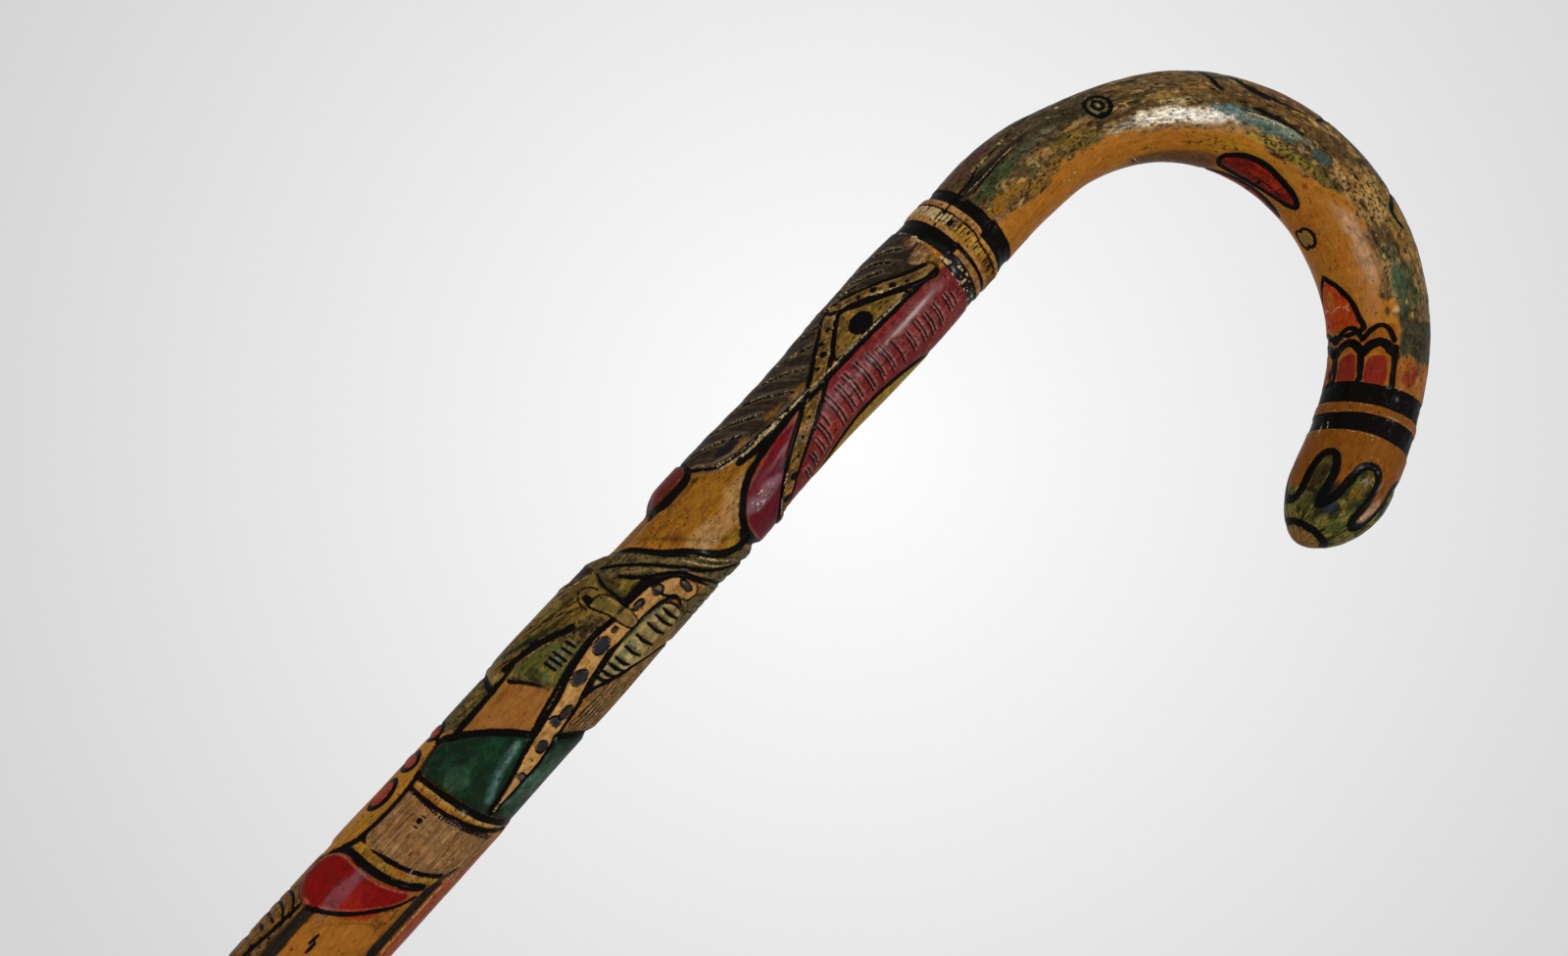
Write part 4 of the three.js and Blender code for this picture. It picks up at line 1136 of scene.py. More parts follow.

# %% [markdown]
# ## The crook
# The handle is a beast's neck: an eye just above the band, freckles and dabs of green along its back, a
# red leaf on the inside, and near the end a row of scallops over red tiles, two black rings and a
# dripping black outline round the green nose.

# %% Dabs of colour and painted highlights on the crook
DABS = [((9, -64), (7, 11), "#5c3a2a", 0.9), ((13, -74), (2.5, 7), "#4a2430", 0.8),
    ((7, -38), (8, 4), "#12110d", 1.0), ((16, -38), (8, 4), "#24211a", 0.8),
    ((15, -43.5), (6, 2.2), "#6e5638", 0.8), ((9, -20), (9, 8), "#3c482a", 0.9),
    ((20, -24), (6, 6), "#50523a", 0.8), ((28, -27), (2.2, 5), "#9a9070", 0.7),
    ((23.4, -3), (1.8, 7), "#a0764a", 0.9), ((8, 3), (7, 9), "#8c611a", 0.85),
    ((90, 49), (14, 4), "#94681c", 0.7), ((30, -3), (5, 9), "#745a20", 0.7),
    ((36, 12), (5, 7), "#5c4a1c", 0.7), ((34, -32), (6, 10), "#3a321e", 0.8),
    ((30, -55), (8, 10), "#4a4024", 0.6), ((49, -32), (4, 12), "#4a3e24", 0.7),
    ((47, -5), (4, 5), "#4a3c20", 0.6), ((59, -11), (5, 7), "#9c783a", 0.85),
    ((63, -4), (5, 3), "#b49a6c", 0.8), ((60, -38), (9, 12), "#6e5634", 0.7),
    ((76, -32), (5, 8), "#806038", 0.6), ((74, -14), (10, 5), "#664826", 0.8),
    # The pale cream dabs round up 55 to 72 on the crown's top are a painted highlight, with a paler tan strip
    # below.
    ((72, 27), (20, 6), "#aa7e4e", 0.6), ((62, 14), (18, 11), "#b89e70", 0.8),
    ((55, 6), (7, 5), "#dccba8", 0.75), ((70, 15), (9, 9), "#dcd2c0", 0.85),
    ((78, 5), (5, 7), "#5c7a74", 0.9), ((88, 12), (8, 6), "#4e665a", 0.9),
    ((92, 4), (7, 3.5), "#62786e", 0.8), ((106, 9), (3, 5), "#3f5c56", 0.95),
    ((97, 7), (4, 4), "#748068", 0.7), ((104, 26), (10, 4), "#80682a", 0.7),
    ((88, 28), (6, 5), "#a08430", 0.7), ((82, 45), (7, 8), "#9c6c14", 0.7),
    ((68, -55), (2.2, 3), "#14110d", 0.9), ((92, -45), (8, 9), "#6e4426", 0.85),
    ((94, -14), (10, 6), "#6a4a24", 0.7), ((108, -12), (9, 10), "#584226", 0.85),
    ((123, -6), (7, 15), "#a88446", 0.7), ((133, -28), (7, 12), "#806530", 0.8),
    ((131, 17), (3.4, 2.2), "#30281c", 0.9), ((146, 6), (10, 8), "#445238", 0.95),
    ((146, -12), (5, 5), "#2c3e28", 0.8), ((157, 4), (4, 7), "#202c22", 0.85),
    # The four light brown and pinkish dabs round up 128 to 142, 23 to 38 degrees in, are a painted sheen.
    ((128, 36), (14, 9), "#a0703c", 0.5), ((142, 38), (12, 12), "#a06c40", 0.5),
    ((134, 33), (15, 8), "#b48c68", 0.75), ((138, 23), (12, 4), "#84603c", 0.75),
    ((155, -32), (9, 12), "#6a5c3e", 0.8), ((160.4, -22), (2.2, 12), "#2a281e", 0.85),
    ((74, 68), (6, 8), "#704a24", 0.5), ((53.5, 53), (1.2, 2.4), "#5c2c14", 0.8),
    ((108, 45), (1.2, 3), "#54201a", 0.7), ((22, 37), (1.4, 1.4), "#7c4014", 0.6)]
patches(DABS)
for place, reach, code, amount in (
    ((122, -6), (8, 15), "#a8844c", 0.8), ((120, 16), (8, 6), "#a07a44", 0.7),
    ((18, 14), (12, 4), "#86601c", 0.9), ((32, 6), (8, 8), "#6e5624", 0.7),
    ((96, 27), (12, 4), "#86762c", 0.8), ((75, 50), (8, 8), "#94651a", 0.6),
):
    patch(place, reach, code, 0.75, speck=amount)
print("dabs:", len(DABS))

# %% Polish, scratches and chips on the crook
# These places get polished varnish and painted pale glints, where highlights fall.
SHINY = [((61, 14), (18, 13), 1.0), ((88, 6), (14, 9), 0.72), ((-88, 24), (6, 10), 0.8),
    ((-99, 12), (9, 13), 0.3), ((-45, 14), (30, 8), 0.45), ((206, -26), (5, 10), 0.7),
    ((-212, -18), (7, 12), 0.3), ((-15, 15), (2, 50), 0.6), ((134, 35), (15, 9), 0.1)]
for place, reach, strength in SHINY:
    shine(place, reach, strength)
nicks = np.random.default_rng(21)
for place, side in nicks.uniform((4, -50), (150, 26), (130, 2)):
    length = nicks.uniform(0.6, 2.4)
    stroke([(place, side), (place + length, side + nicks.uniform(-1.5, 1.5))], nicks.uniform(0.25, 0.6),
           taper=0.6)
for chip, reach in (((26, 43), 0.55), ((28.4, 38), 0.4), ((31, -45), 0.4), ((35, -56), 0.7), ((97, 78), 0.4),
                    ((155, 77), 0.5), ((190, 16), 0.35)):
    spot(chip, (reach, 0.8 * reach), gilt, sunk=0.2)
print("polished places:", len(SHINY))

# %% Eye and arcs
def ring_mark(place, along_radius, across_radius, width, depth=0.35):
    """A carved oval at (up, around) with its radii in millimetres."""
    cut(oval(place, (along_radius, across_radius)), width, depth, closed=True)


patch((43, -27), (2.2, 10), "#6a6840", 0.9)
ring_mark((43, -27), 3.2, 3.4, 1.15)
ring_mark((43, -27), 1.35, 1.4, 0.9, 0.2)
spot((43, -27), (0.35, 0.35), gilt, sunk=0)
patch((123, 85), (1.8, 4), "#6e6430", 0.8)
ring_mark((123, 85), 3.5, 2.1, 1.3)
cuts([
    (1.2, 0.3, [(84, -5), (90, -2), (98, 0)]), (1.5, 0.3, [(72.6, -52), (73.4, -42), (74, -30), (75.4, -22)]),
    (2.4, 0.3, [(79, -62), (80, -48), (82.6, -34), (86, -29), (89.4, -29)]),
    (0.7, 0.3, [(89, -29), (93, -27), (97.6, -29)]), (1.1, 0.3, [(100.6, -32), (102, -42), (103.4, -58)]),
    (1.5, 0.3, [(125, -60), (125.6, -40), (128, -22), (131, -22), (133, -27)]),
], taper=0.5)
stroke([(82, 4), (90, 3), (99, 6)], 0.4, gilt, taper=0.5)
for fold, bright in ((0, ink), (0.9, gilt), (3.0, ink)):
    stroke([(48.6 + fold, 64), (50.6 + fold, 74), (53 + fold, 88)], 0.35, bright, taper=0.8)
report("eye")

# %% Leaf and triangle
field([(80, 67), (83, 58), (88, 52.5), (95, 53), (103, 58.5), (109, 63), (112, 71), (109.4, 78), (104, 83),
      (96, 86), (88, 85), (82, 80)], 0.0, "#881e0c", "#4e0e0a", 0.5, 0.4, line=1.7)
patches([
    ((87, 62), (4, 6), "#5a100c", 0.7), ((106, 76), (3, 5), "#641410", 0.7),
    ((98, 70), (7, 6), "#a4320e", 0.6),
])
stroke([(86, 74), (98, 73), (108, 74)], 0.5, taper=0.9)
spot((96.6, 78), (0.8, 0.9), sunk=0.2)
field([(138.6, 96), (141, 80), (145, 69), (149, 61), (154, 55), (158.4, 52.5), (158.4, 96)], 0.1, "#a23c0e",
      "#8c240c", 0.4, line=1.6)
patch((148, 90), (4, 6), "#a86c18", 0.7)
for crackle in ([(149, 62), (150, 70), (149.4, 78), (150.8, 90)], [(149.6, 68), (151.6, 66)],
                [(160.4, 71), (160.2, 78)], [(186.6, 74), (190, 70)], [(187.6, 81), (192.4, 79)]):
    stroke(crackle, 0.4, gilt, taper=0.4)
report("leaf")

# %% Scallops, tiles and rings
inner_half = smoothstep(around, 8, 18)
wash(inner_half * smoothstep(np.minimum(up - 157, 174 - up), -0.5, 0.5), "#84480a", "#8e5612", 0.35, 0.05)
coat(174, 213, "#70400e", "#7c4a12", 0.35, 0.08)
coat(156, 166, "#272619", "#45402a", 0.5, 0.5, span=(-200, 8))
coat(165, 175, "#5c4528", "#33321e", 0.6, 0.5, span=(-200, -28))
TILE_TURN = 36.0
for tile in range(-1, 4):
    left = -21 + TILE_TURN * tile + (1 if tile else 0)
    middle, right = left + TILE_TURN / 2, left + TILE_TURN
    if tile < 1:
        field([(165.0, middle), (166.4, left + 5), (170, left + 1), (174.6, left + 1), (174.6, right - 5),
              (170, right - 4), (166.6, right - 6)], -0.15, "#8e5a1c", RUST, 0.4)
        if tile == 0:
            patch((170, middle - 7), (3.4, 9), "#7c2c1a", 0.9)
            cut([(163.5, right - 1), (169, right - 2), (175, right - 4)], 1.7, 0.35)
        continue
    field([(165.4, middle), (166.4, left + 7), (169, left + 4.4), (174.4, left + 3), (174.4, right - 5),
          (169, right - 3.4), (166.6, right - 6)], -0.2, "#985a14", GOLD, 0.4)
    field([(166, middle - 2), (167.2, left + 6), (174.6, left + 4.5), (174.6, right - 9), (168, right - 8)],
          0, "#741e14", "#6a2c14", 0.35, 0.05)
    cuts([
        (1.5, 0.35, [(161.4, left), (158.2, left + 7), (157.2, middle - 2), (158.6, right - 10),
         (161.2, right - 1)]),
        (2.7, 0.35, [(164.6, left + 2), (162.8, left + 9), (162.2, middle - 1), (163.4, right - 9),
         (165.4, right - 2)]),
        (1.8, 0.35, [(165, right + 1), (170, right - 1), (175.4, right - 2)]),
    ])
lower_side = smoothstep(around, 10, 90)
for low, low_rise, high, high_rise in ((174.6, 0, 180.4, 0.8), (182.9, 1.9, 188.5, 1.9)):
    within = np.minimum(up - low - low_rise * lower_side, high + high_rise * lower_side - up)
    ink[:] = np.maximum(ink, within + 0.15 * wobble)
    relief -= 0.25 * smoothstep(within, -0.3, 0.3)
    for edge, rise in ((low - 0.35, low_rise), (high + 0.3, high_rise)):
        stroke([(edge + rise * max(a - 10, 0) / 80, a) for a in range(-90, 91, 15)], 0.12, gilt)
report("scallops and rings")

# %% Nose
coat(209, 222, "#3e4820", "#5c5426", 0.5, 0.35)
DRIP = [(206, -90), (200, -78), (196, -68), (195.5, -52), (197.5, -40), (203, -38.5), (208.5, -40),
    (210.6, -34), (211, -26), (209.8, -17.5), (205, -14.5), (199.5, -12.5), (197, -5), (196.6, 3),
    (198, 13), (202, 19), (207, 23), (210.4, 29), (211.4, 36), (208, 39.5), (203, 38.5), (199, 42),
    (196.8, 50), (198, 61), (203, 67), (209, 71), (212, 79), (212, 92)]
field([*DRIP, (224, 92), (224, 0), (224, -90)], -0.1, "#3c4822", "#72692e", 0.7, 0.6)
drips = smoothstep(up, 195, 200) * smoothstep(ink, 0.3, -0.3) * (paint[..., 0] < linear("#60401a")[0])
for code, seed, low in (("#1c3012", 31, 0.15), ("#8c7a32", 32, 0.26), ("#141a14", 33, 0.36)):
    wash(0.85 * drips * smoothstep(cloud(1.5, 1.8, seed), low, low + 0.15), code)
# The pinkish dab at up 206 is a painted highlight; the other dabs are the nose's paint.
for place, reach, code in (
    ((204, 4), (5, 7), "#74541a"), ((199.6, 9), (1.4, 3), "#1c3818"), ((203.6, 54), (6, 9), "#2e1e0c"),
    ((210.5, 26), (5, 16), "#11141a"), ((211.4, 20), (2.4, 7), "#343c48"), ((209, 36), (3, 6), "#0e1016"),
    ((213.6, -10), (1.6, 14), "#525c26"), ((200, -60), (4, 9), "#4c5450"),
    ((212.6, 56), (2, 12), "#505a2a"), ((209.6, 44), (2.6, 6), "#16181a"), ((206, -28), (3, 6), "#b08468"),
    ((206.6, 6), (3, 5), "#7a5a1c"), ((208, -4), (2, 3), "#243c18"), ((213, 32), (1.6, 7), "#242e18"),
    ((214, 4), (1.2, 6), "#6c6c30"), ((206, 60), (4, 3), "#4a3414"),
):
    patch(place, reach, code, 0.85, speck=0.4)
cut(DRIP, 2.3, 0.35)
hoop(216.5, 218.0, depth=0.15)
coat(218.2, 230, "#946c3a", BROWN, 0.4)
report("nose")

# %% [markdown]
# ## Wear and painted shade
# Hands and years rub varnish and paint off whatever stands proud and leave dirt in whatever is cut, and
# the cuts are darkened with painted shade as well. Both come from one number: how far a corner lies below
# the average of the skin around it. First, places where several raised forms pile up are pared down, as no
# carver leaves a spike.

# %% Hollows
def averaged(values, reach):
    """Each corner's value averaged with its neighbours this many corners away, along and around."""
    total = values.copy()
    for axis in (0, 1):
        total = sum(np.roll(total, shift, axis) for shift in range(-reach, reach + 1)) / (2 * reach + 1)
    return total


PROUDEST, PARED, END_ROWS = 0.9, 0.7, 8
piled = np.maximum(relief - PROUDEST, 0) * (row_up > SEEN_FROM)[:, None]
relief -= PARED * piled
relief *= smoothstep(row_girth, 0.5, 7)[:, None] * smoothstep(row_up + NECK, SHOULDER, SHOULDER + 3)[:, None]
hollow = averaged(relief, 2) - relief + 0.5 * (averaged(relief, 5) - relief)
hollow[:END_ROWS], hollow[-END_ROWS:] = 0, 0
print("deepest cut", round(float(-relief.min()), 2), "mm; highest ridge", round(float(relief.max()), 2), "mm")

# %% [markdown]
# ## The wooden skin
# The grid now becomes one closed mesh. Each ring stands square to the centre line, and the end of the
# wood under the ferrule is turned down as in the CAD model. The unrolled skin is also the texture map:
# it is cut into three lengths that lie side by side, and the plain lower shaft gets less room.

# %% Wood mesh
TENON_RADIUS, WOOD_END, FERRULE_RADIUS = 9.8, 12.8, 10.9
x, z, heading = centre_line(distances)
radius = row_girth[:, None] + relief
radius[0] = FERRULE_RADIUS
lean = END_LEAN * into_end(distances)[:, None] ** 2
inward, flank = lean + radius * np.sin(turn), -radius * np.cos(turn)
rings = np.stack([x[:, None] + inward * np.cos(heading)[:, None], flank,
                  z[:, None] - inward * np.sin(heading)[:, None]], axis=-1)
tenon = np.stack(np.broadcast_arrays(
    TENON_RADIUS * np.sin(turn)[None, :], -TENON_RADIUS * np.cos(turn)[None, :],
    np.array([WOOD_END, SHOULDER])[:, None]), axis=-1)
rings = np.concatenate([tenon, rings])
tip_x, tip_z, tip_heading = (float(value[0]) for value in centre_line(np.array([CROOK_TIP])))
tip = (tip_x + END_LEAN * math.cos(tip_heading), 0, tip_z - END_LEAN * math.sin(tip_heading))
corners = np.concatenate([rings.reshape(-1, 3), [(0, 0, WOOD_END), tip]]) * MM
count = len(rings)
ring, side = np.meshgrid(np.arange(count - 1), np.arange(SIDES), indexing="ij")
after = (side + 1) % SIDES
quads = np.stack([ring * SIDES + side, ring * SIDES + after,
                  (ring + 1) * SIDES + after, (ring + 1) * SIDES + side], axis=-1).reshape(-1, 4)
one = np.arange(SIDES)
two = (one + 1) % SIDES
last = (count - 1) * SIDES
foot_fan = np.stack([np.full(SIDES, count * SIDES), two, one], axis=-1)
tip_fan = np.stack([np.full(SIDES, count * SIDES + 1), last + one, last + two], axis=-1)
wood_mesh = bpy.data.meshes.new("wood")
wood_mesh.from_pydata(corners, [], quads.tolist() + foot_fan.tolist() + tip_fan.tolist())
wood_mesh.shade_smooth()
wood = add_object("carved_wood", wood_mesh)
print("faces of wood:", len(wood_mesh.polygons))

# %% Attributes
def keep(name, values, kind):
    """Stores a layer on the wood's corners. The tenon takes the first ring's values."""
    width = {"FLOAT": 1, "FLOAT_VECTOR": 3, "FLOAT_COLOR": 4}[kind]
    values = values.reshape(*values.shape[:2], -1)
    if width == 4:
        values = np.concatenate([values, np.ones((*values.shape[:2], 1))], axis=-1)
    rows = np.concatenate([values[:1], values[:1], values]).reshape(-1, width)
    rows = np.concatenate([rows, rows[:1], rows[-1:]]).astype(np.float32)
    layer = wood_mesh.attributes.new(name, kind, "POINT")
    layer.data.foreach_set({1: "value", 3: "vector", 4: "color"}[width], rows.ravel())


keep("straight", straight * MM, "FLOAT_VECTOR")
keep("paint", np.clip(paint, 0, 1), "FLOAT_COLOR")
keep("mottle", np.clip(mottle, 0, 1), "FLOAT_COLOR")
for name, values in (("mottling", mottling), ("specks", specks), ("ink", ink), ("gilt", gilt),
                     ("hollow", hollow), ("polish_and_glints", polish_and_glints)):
    keep(name, values, "FLOAT")
print("layers stored:", [a.name for a in wood_mesh.attributes if not a.name.startswith(".")])

# %% Texture map
STRIPS, LOWER_SHARE, HEADROOM, MARGIN = 3, 0.5, 1.04, 3
ring_up = np.concatenate([[row_up[0]] * 2, row_up])
weight = np.where(ring_up[1:] < SEEN_FROM, LOWER_SHARE, 1.0)
run = np.concatenate([[0], np.cumsum(weight * np.maximum(np.diff(ring_up), 0.01))])
strip_of = np.minimum((run[:-1] / run[-1] * STRIPS).astype(int), STRIPS - 1)
starts = np.array([run[:-1][strip_of == strip].min() for strip in range(STRIPS)])
longest = run[-1] / STRIPS * HEADROOM
width = math.tau * STOCK_RADIUS
big = max(longest, STRIPS * (width + 2 * MARGIN))
u_base = (strip_of * (width + 2 * MARGIN) + MARGIN)[:, None]
u_low = u_base + width * np.arange(SIDES)[None, :] / SIDES
u_high = u_low + width / SIDES
v_low = np.repeat((run[:-1] - starts[strip_of] + MARGIN)[:, None], SIDES, 1)
v_high = np.repeat((run[1:] - starts[strip_of] + MARGIN)[:, None], SIDES, 1)
round_a_face = ((u_low, v_low), (u_high, v_low), (u_high, v_high), (u_low, v_high))
uv = np.stack([np.stack(pair, -1) for pair in round_a_face], axis=2).reshape(-1, 2) / (big + 2 * MARGIN)
caps = np.tile([(0.985, 0.985), (0.99, 0.985), (0.99, 0.99)], (2 * SIDES, 1))
layer = wood_mesh.uv_layers.new(name="OFBake")
layer.data.foreach_set("uv", np.concatenate([uv, caps]).astype(np.float32).ravel())
print("texture map spans", uv.min(0).round(3), "to", uv.max(0).round(3))

# %% [markdown]
# ## Painted and varnished wood
# The finish is read off the layers. Paint is broken up with its second colour, streaked along the grain
# and freckled; polished places get pale flecks painted as glints of light; hollows are dirty and darkened
# with painted shade, and edges rubbed; then come the ink, the pale rubbed lips and a varnish whose gloss
# is uneven. The pattern's space is the straightened stick, so grain follows the bend.

# %% Patterns in the wood
finish = bpy.data.materials.new("painted_wood")
net = Net(finish)
place = net.read("straight", "Vector")
fine = net.noise(place, 1500.0, 3.0, 0.6)
blotch = net.noise(place, 520.0, 4.0, 0.65)
broad = net.noise(place, 120.0, 3.0, 0.6)
grain = net.noise(net.stretch(place, 1.0, 0.16), 1100.0, 4.0, 0.6)
freckle = net.noise(net.stretch(place, 1.0, 0.62), 1350.0, 3.0, 0.62)
print("pattern nodes:", len(net.tree.nodes))

# %% Stain and paint
mottling_wire, specks_wire, polish_and_glints_wire = net.read("mottling"), net.read("specks"), net.read("polish_and_glints")
second = net.step(blotch * 0.7 + grain * 0.3 + mottling_wire * 0.3, 0.58, 0.68)
first_paint, second_paint = net.read("paint", "Color"), net.read("mottle", "Color")
colour = net.mix(first_paint, second_paint, second * (mottling_wire * 0.6 + 0.4))
colour = net.mix(colour, opaque("#38220a"), net.step(grain, 0.50, 0.70) * 0.288)
colour = net.mix(colour, opaque("#f0b878"), net.step(broad, 0.50, 0.70) * 0.30, "MULTIPLY")
freckles = net.step(freckle + specks_wire * 0.20, 0.66, 0.70) * 0.85
colour = net.mix(colour, opaque("#1e160c"), freckles)
# Pale flecks where the varnish is polished: painted glints of light.
painted_glints = net.step(polish_and_glints_wire * 0.5 - freckle, -0.02, 0.04) * 0.558
colour = net.mix(colour, opaque("#f4e8d4"), painted_glints)
streak = net.noise(net.stretch(place, 1.0, 0.30), 900.0, 4.0, 0.7)
colour = net.mix(colour, opaque("#9c988c"), net.step(streak, 0.52, 0.66) * 0.65, "DODGE")
colour = net.mix(colour, opaque("#0c0805"), net.step(1 - streak, 0.54, 0.68) * 0.315)
print("with stain and paint:", len(net.tree.nodes))

# %% Dirt and painted shade, ink and pale lips
hollow_wire = net.read("hollow")
# Cut and sunken places are darkened: grime, and painted shade in the cuts.
dirt_and_shade = net.step(hollow_wire + fine * 0.14, 0.09, 0.28) * 0.85
rubbed = net.step(fine * 0.30 - hollow_wire, 0.32, 0.54) * 0.153
colour = net.mix(colour, opaque("#1a130b"), dirt_and_shade)
colour = net.mix(colour, opaque("#e0b070"), rubbed)
ragged = (fine - 0.5) * 0.5
gilded = net.step(net.read("gilt") + ragged * 1.6, -0.10, 0.14) * net.step(blotch, 0.36, 0.50)
inked = net.step(net.read("ink") + ragged, -0.12, 0.10)
worn_ink = net.step(fine * 0.6 + blotch * 0.4, 0.57, 0.70) * 0.35
colour = net.mix(colour, opaque("#070605"), inked * (1 - worn_ink))
colour = net.mix(colour, opaque("#c4a878"), gilded * 0.85)
print("with dirt and ink:", len(net.tree.nodes))

# %% Varnish
gloss = blotch * 0.18 + freckles * 0.15 + dirt_and_shade * 0.2 + 0.24 - polish_and_glints_wire * 0.12
height = fine * 0.55 + streak * 0.30 + grain * 0.30 - freckles * 0.30 - inked * 0.20
height = height + freckle * (polish_and_glints_wire * 0.8)
normal = net.node("ShaderNodeBump", {}, {"Strength": 0.7, "Distance": 0.0004, "Height": height},
                  output="Normal")
shader = net.node("ShaderNodeBsdfPrincipled", {}, {
    "Base Color": colour, "Roughness": gloss, "Normal": normal, "Specular IOR Level": 0.01,
    "Coat Weight": polish_and_glints_wire * 0.28 + 0.06, "Coat Roughness": 0.2,
})
net.node("ShaderNodeOutputMaterial", {}, {"Surface": shader})
wood_mesh.materials.append(finish)
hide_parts("carved_stick")
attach(wood, "root")
print("wood nodes:", len(net.tree.nodes))

# %% [markdown]
# ## Brass, nails and rubber
# The foot is turned ware. A lathe does it: a list of (radius, height) points is swung round the axis.
# The ferrule gets a rolled top edge and two turned lines, the rubber tip its moulded ribs and a tread
# of rings on the sole. Metal and rubber are a little darker in blotches, and their gloss is uneven.

# %% Lathe
def turned(name, profile, sides=96, closed=True):
    """A body of revolution about Z from (radius, height) points in millimetres."""
    points = np.array(profile, float)
    angle = np.arange(sides) * math.tau / sides
    rings = np.stack(np.broadcast_arrays(
        points[:, :1] * np.cos(angle), points[:, :1] * np.sin(angle), points[:, 1:2]), axis=-1)
    ring, side = np.meshgrid(np.arange(len(points) - (not closed)), np.arange(sides), indexing="ij")
    after, above = (side + 1) % sides, (ring + 1) % len(points)
    faces = np.stack([ring * sides + side, ring * sides + after, above * sides + after, above * sides + side],
                     axis=-1).reshape(-1, 4).tolist()
    if not closed:
        faces += [list(range(sides))[::-1], [(len(points) - 1) * sides + i for i in range(sides)]]
    mesh = bpy.data.meshes.new(name)
    mesh.from_pydata(rings.reshape(-1, 3) * MM, [], faces)
    mesh.shade_smooth()
    return add_object(name, mesh)


def worn(name, base, dark, metallic, rough, scale, bump=0.25):
    """A finish with a darker second colour in blotches and an uneven gloss."""
    made = bpy.data.materials.new(name)
    net = Net(made)
    place = net.node("ShaderNodeTexCoord", output="Object")
    blotch = net.noise(place, scale, 5.0, 0.6)
    fine = net.noise(place, scale * 9, 3.0, 0.6)
    colour = net.mix(opaque(base), opaque(dark), net.step(blotch * 0.7 + fine * 0.3, 0.45, 0.68))
    normal = net.node("ShaderNodeBump", {}, {"Strength": bump, "Distance": 0.0002, "Height": fine},
                      output="Normal")
    shader = net.node("ShaderNodeBsdfPrincipled", {}, {
        "Base Color": colour, "Metallic": metallic, "Roughness": blotch * 0.3 + fine * 0.1 + (rough - 0.2),
        "Normal": normal,
    })
    net.node("ShaderNodeOutputMaterial", {}, {"Surface": shader})
    return made


brass = worn("brass", "#b9975a", "#7d6234", 1.0, 0.36, 130.0)
nail_brass = worn("nail_brass", "#8c7040", "#5a4626", 1.0, 0.45, 400.0)
steel = worn("steel", "#9a9c9f", "#6c6a68", 1.0, 0.42, 160.0)
rubber = worn("rubber", "#2c2a28", "#3c3935", 0.0, 0.78, 90.0, 0.5)
print("foot finishes:", [made.name for made in (brass, nail_brass, steel, rubber)])

# %% Ferrule, nails and washer
FERRULE_TOP, WALL, LIP = 58.8, 0.8, 0.35
TURNED_LINES, LINE_HALF, LINE_DEPTH = (46.5, 55.6), 0.5, 0.3
ROLL_LOW, ROLL_HIGH, ROLL_RISE = 2.2, 1.5, 0.35
outer = [(FERRULE_RADIUS - LIP, WOOD_END), (FERRULE_RADIUS, WOOD_END + LIP)]
for middle in TURNED_LINES:
    outer += [(FERRULE_RADIUS, middle - LINE_HALF), (FERRULE_RADIUS - LINE_DEPTH, middle),
              (FERRULE_RADIUS, middle + LINE_HALF)]
outer += [(FERRULE_RADIUS, FERRULE_TOP - ROLL_LOW), (FERRULE_RADIUS + ROLL_RISE, FERRULE_TOP - ROLL_HIGH),
          (FERRULE_RADIUS + ROLL_RISE, FERRULE_TOP + ROLL_HIGH - ROLL_LOW), (FERRULE_RADIUS, FERRULE_TOP)]
bore = [(FERRULE_RADIUS - WALL, FERRULE_TOP), (FERRULE_RADIUS - WALL, WOOD_END)]
sleeve = turned("brass_ferrule", outer + bore)
sleeve.data.materials.append(brass)
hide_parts("ferrule")
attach(sleeve, "root")
HEAD_RADIUS, HEAD_RIM, DOME, PIN_RADIUS, PIN_LENGTH, PIN_POINT = 2.1, 0.15, 0.75, 0.9, 7.0, 1.8
NAIL_HEIGHT, NAIL_SEAT = 51.1, 11.2
for name, outward in (("front", -1), ("back", 1)):
    profile = [(0.02, -PIN_LENGTH), (PIN_RADIUS, PIN_POINT - PIN_LENGTH), (PIN_RADIUS, 0), (HEAD_RADIUS, 0),
               (HEAD_RADIUS, HEAD_RIM)]
    profile += [(HEAD_RADIUS * math.cos(a), HEAD_RIM + DOME * math.sin(a)) for a in np.linspace(0.15, 1.5, 9)]
    pin = turned("brass_nail_" + name, profile, 32, closed=False)
    pin.rotation_euler = (-outward * math.pi / 2, 0, 0)
    pin.location = (0, outward * NAIL_SEAT * MM, NAIL_HEIGHT * MM)
    pin.data.materials.append(nail_brass)
    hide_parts("ferrule_nail_" + name)
    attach(pin, "root")
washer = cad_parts["tip_washer"]
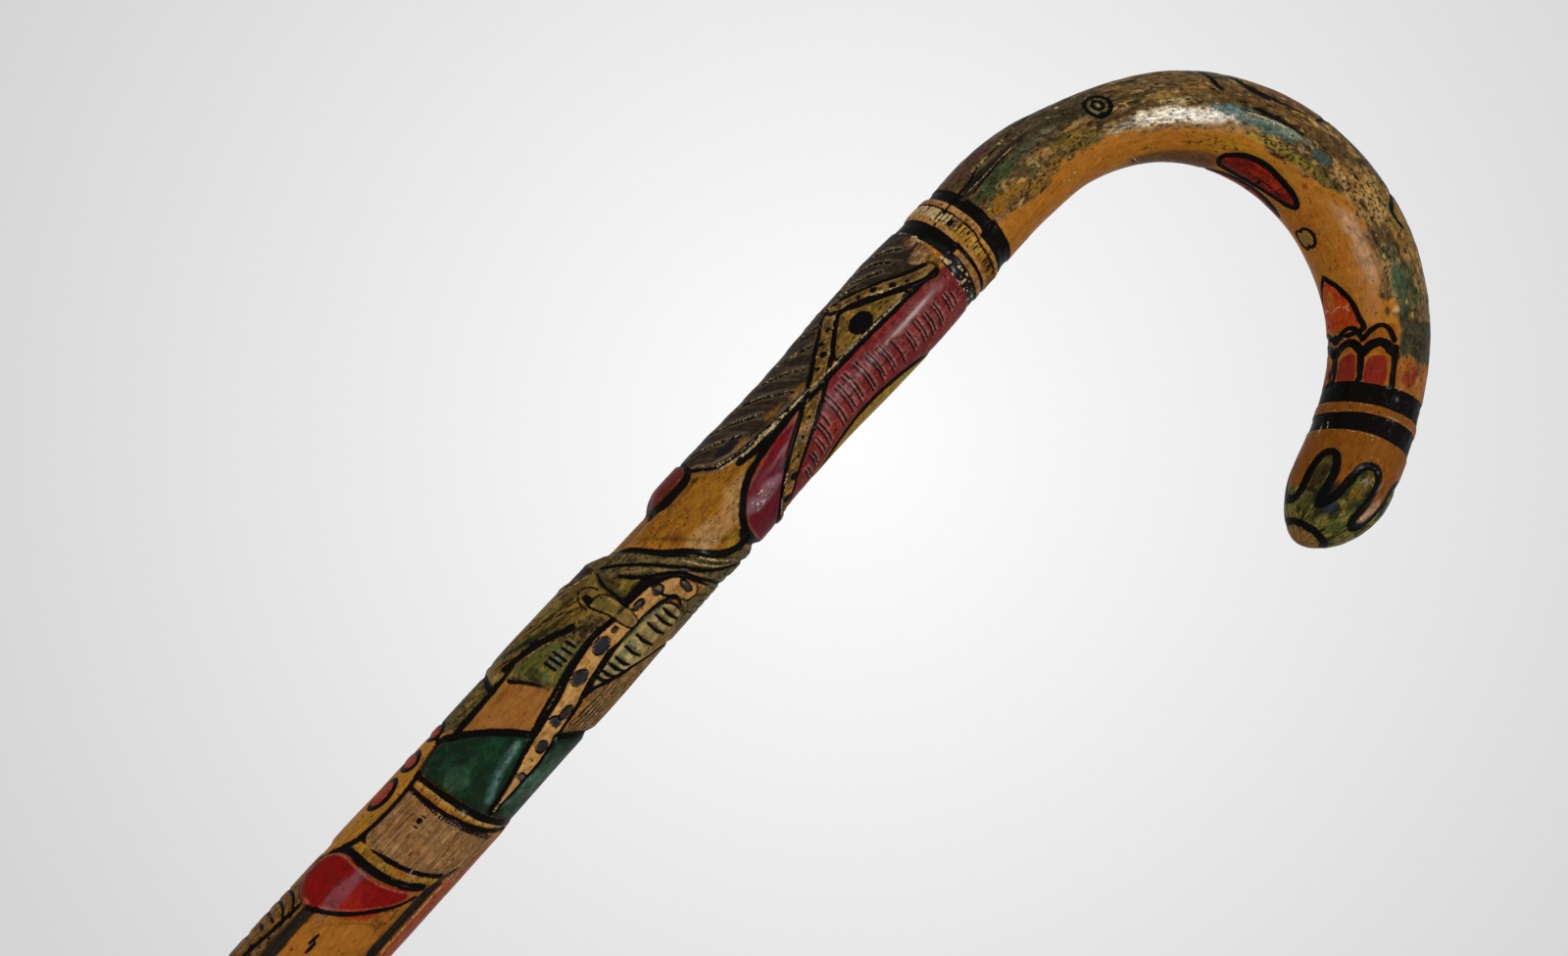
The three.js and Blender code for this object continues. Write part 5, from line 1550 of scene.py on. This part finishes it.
washer.data.materials.clear()
washer.data.materials.append(steel)
print("nail heads reach", round(NAIL_SEAT + HEAD_RIM + DOME, 1), "mm from the axis")

# %% Rubber tip
TIP_HEIGHT, SOLE, SOLE_THICK, WAIST, BEAD, SOCKET, HAIR = 42.0, 18.0, 11.0, 13.0, 1.2, 11.2, 0.05
TREADS, TREAD_FROM, TREAD_PITCH, TREAD_DEPTH = 5, 2.0, 3.1, 0.8
GRIPS, GRIP_FROM, GRIP_PITCH, GRIP_RADIUS = 4, 19.0, 3.6, WAIST + 0.55
HIP = [(17.4, 7.4), (16.5, 9.2), (15.5, SOLE_THICK), (14.6, 13.2), (14.2, 16.5)]
profile = [(HAIR, TREAD_DEPTH)]
for tread in range(TREADS):
    inner = TREAD_FROM + TREAD_PITCH * tread
    profile += [(inner, TREAD_DEPTH), (inner + 0.3, 0.0), (inner + 1.9, 0.0), (inner + 2.2, TREAD_DEPTH)]
profile += [(SOLE - BEAD - 0.2, 0.0)]
profile += [(SOLE - BEAD + BEAD * math.sin(a), BEAD - BEAD * math.cos(a)) for a in np.linspace(0.2, 1.57, 6)]
profile += [(SOLE, SOLE_THICK / 2), *HIP]
for grip in range(GRIPS):
    low = GRIP_FROM + GRIP_PITCH * grip
    profile += [(WAIST, low), (WAIST, low + 1.5), (GRIP_RADIUS, low + 1.9), (GRIP_RADIUS, low + 3.1)]
profile += [(WAIST, 34.0), (WAIST, TIP_HEIGHT - 4 * BEAD - 0.6), (WAIST + BEAD, TIP_HEIGHT - 3 * BEAD),
            (WAIST + BEAD, TIP_HEIGHT - BEAD), (WAIST + 0.6 * BEAD, TIP_HEIGHT - 0.25),
            (WAIST, TIP_HEIGHT), (SOCKET + 0.6, TIP_HEIGHT), (SOCKET, TIP_HEIGHT - 0.6), (SOCKET, SOLE_THICK),
            (HAIR, SOLE_THICK)]
foot = turned("rubber_foot", profile, closed=False)
foot.data.materials.append(rubber)
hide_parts("rubber_tip")
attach(foot, "root")
print("tread rings:", TREADS)
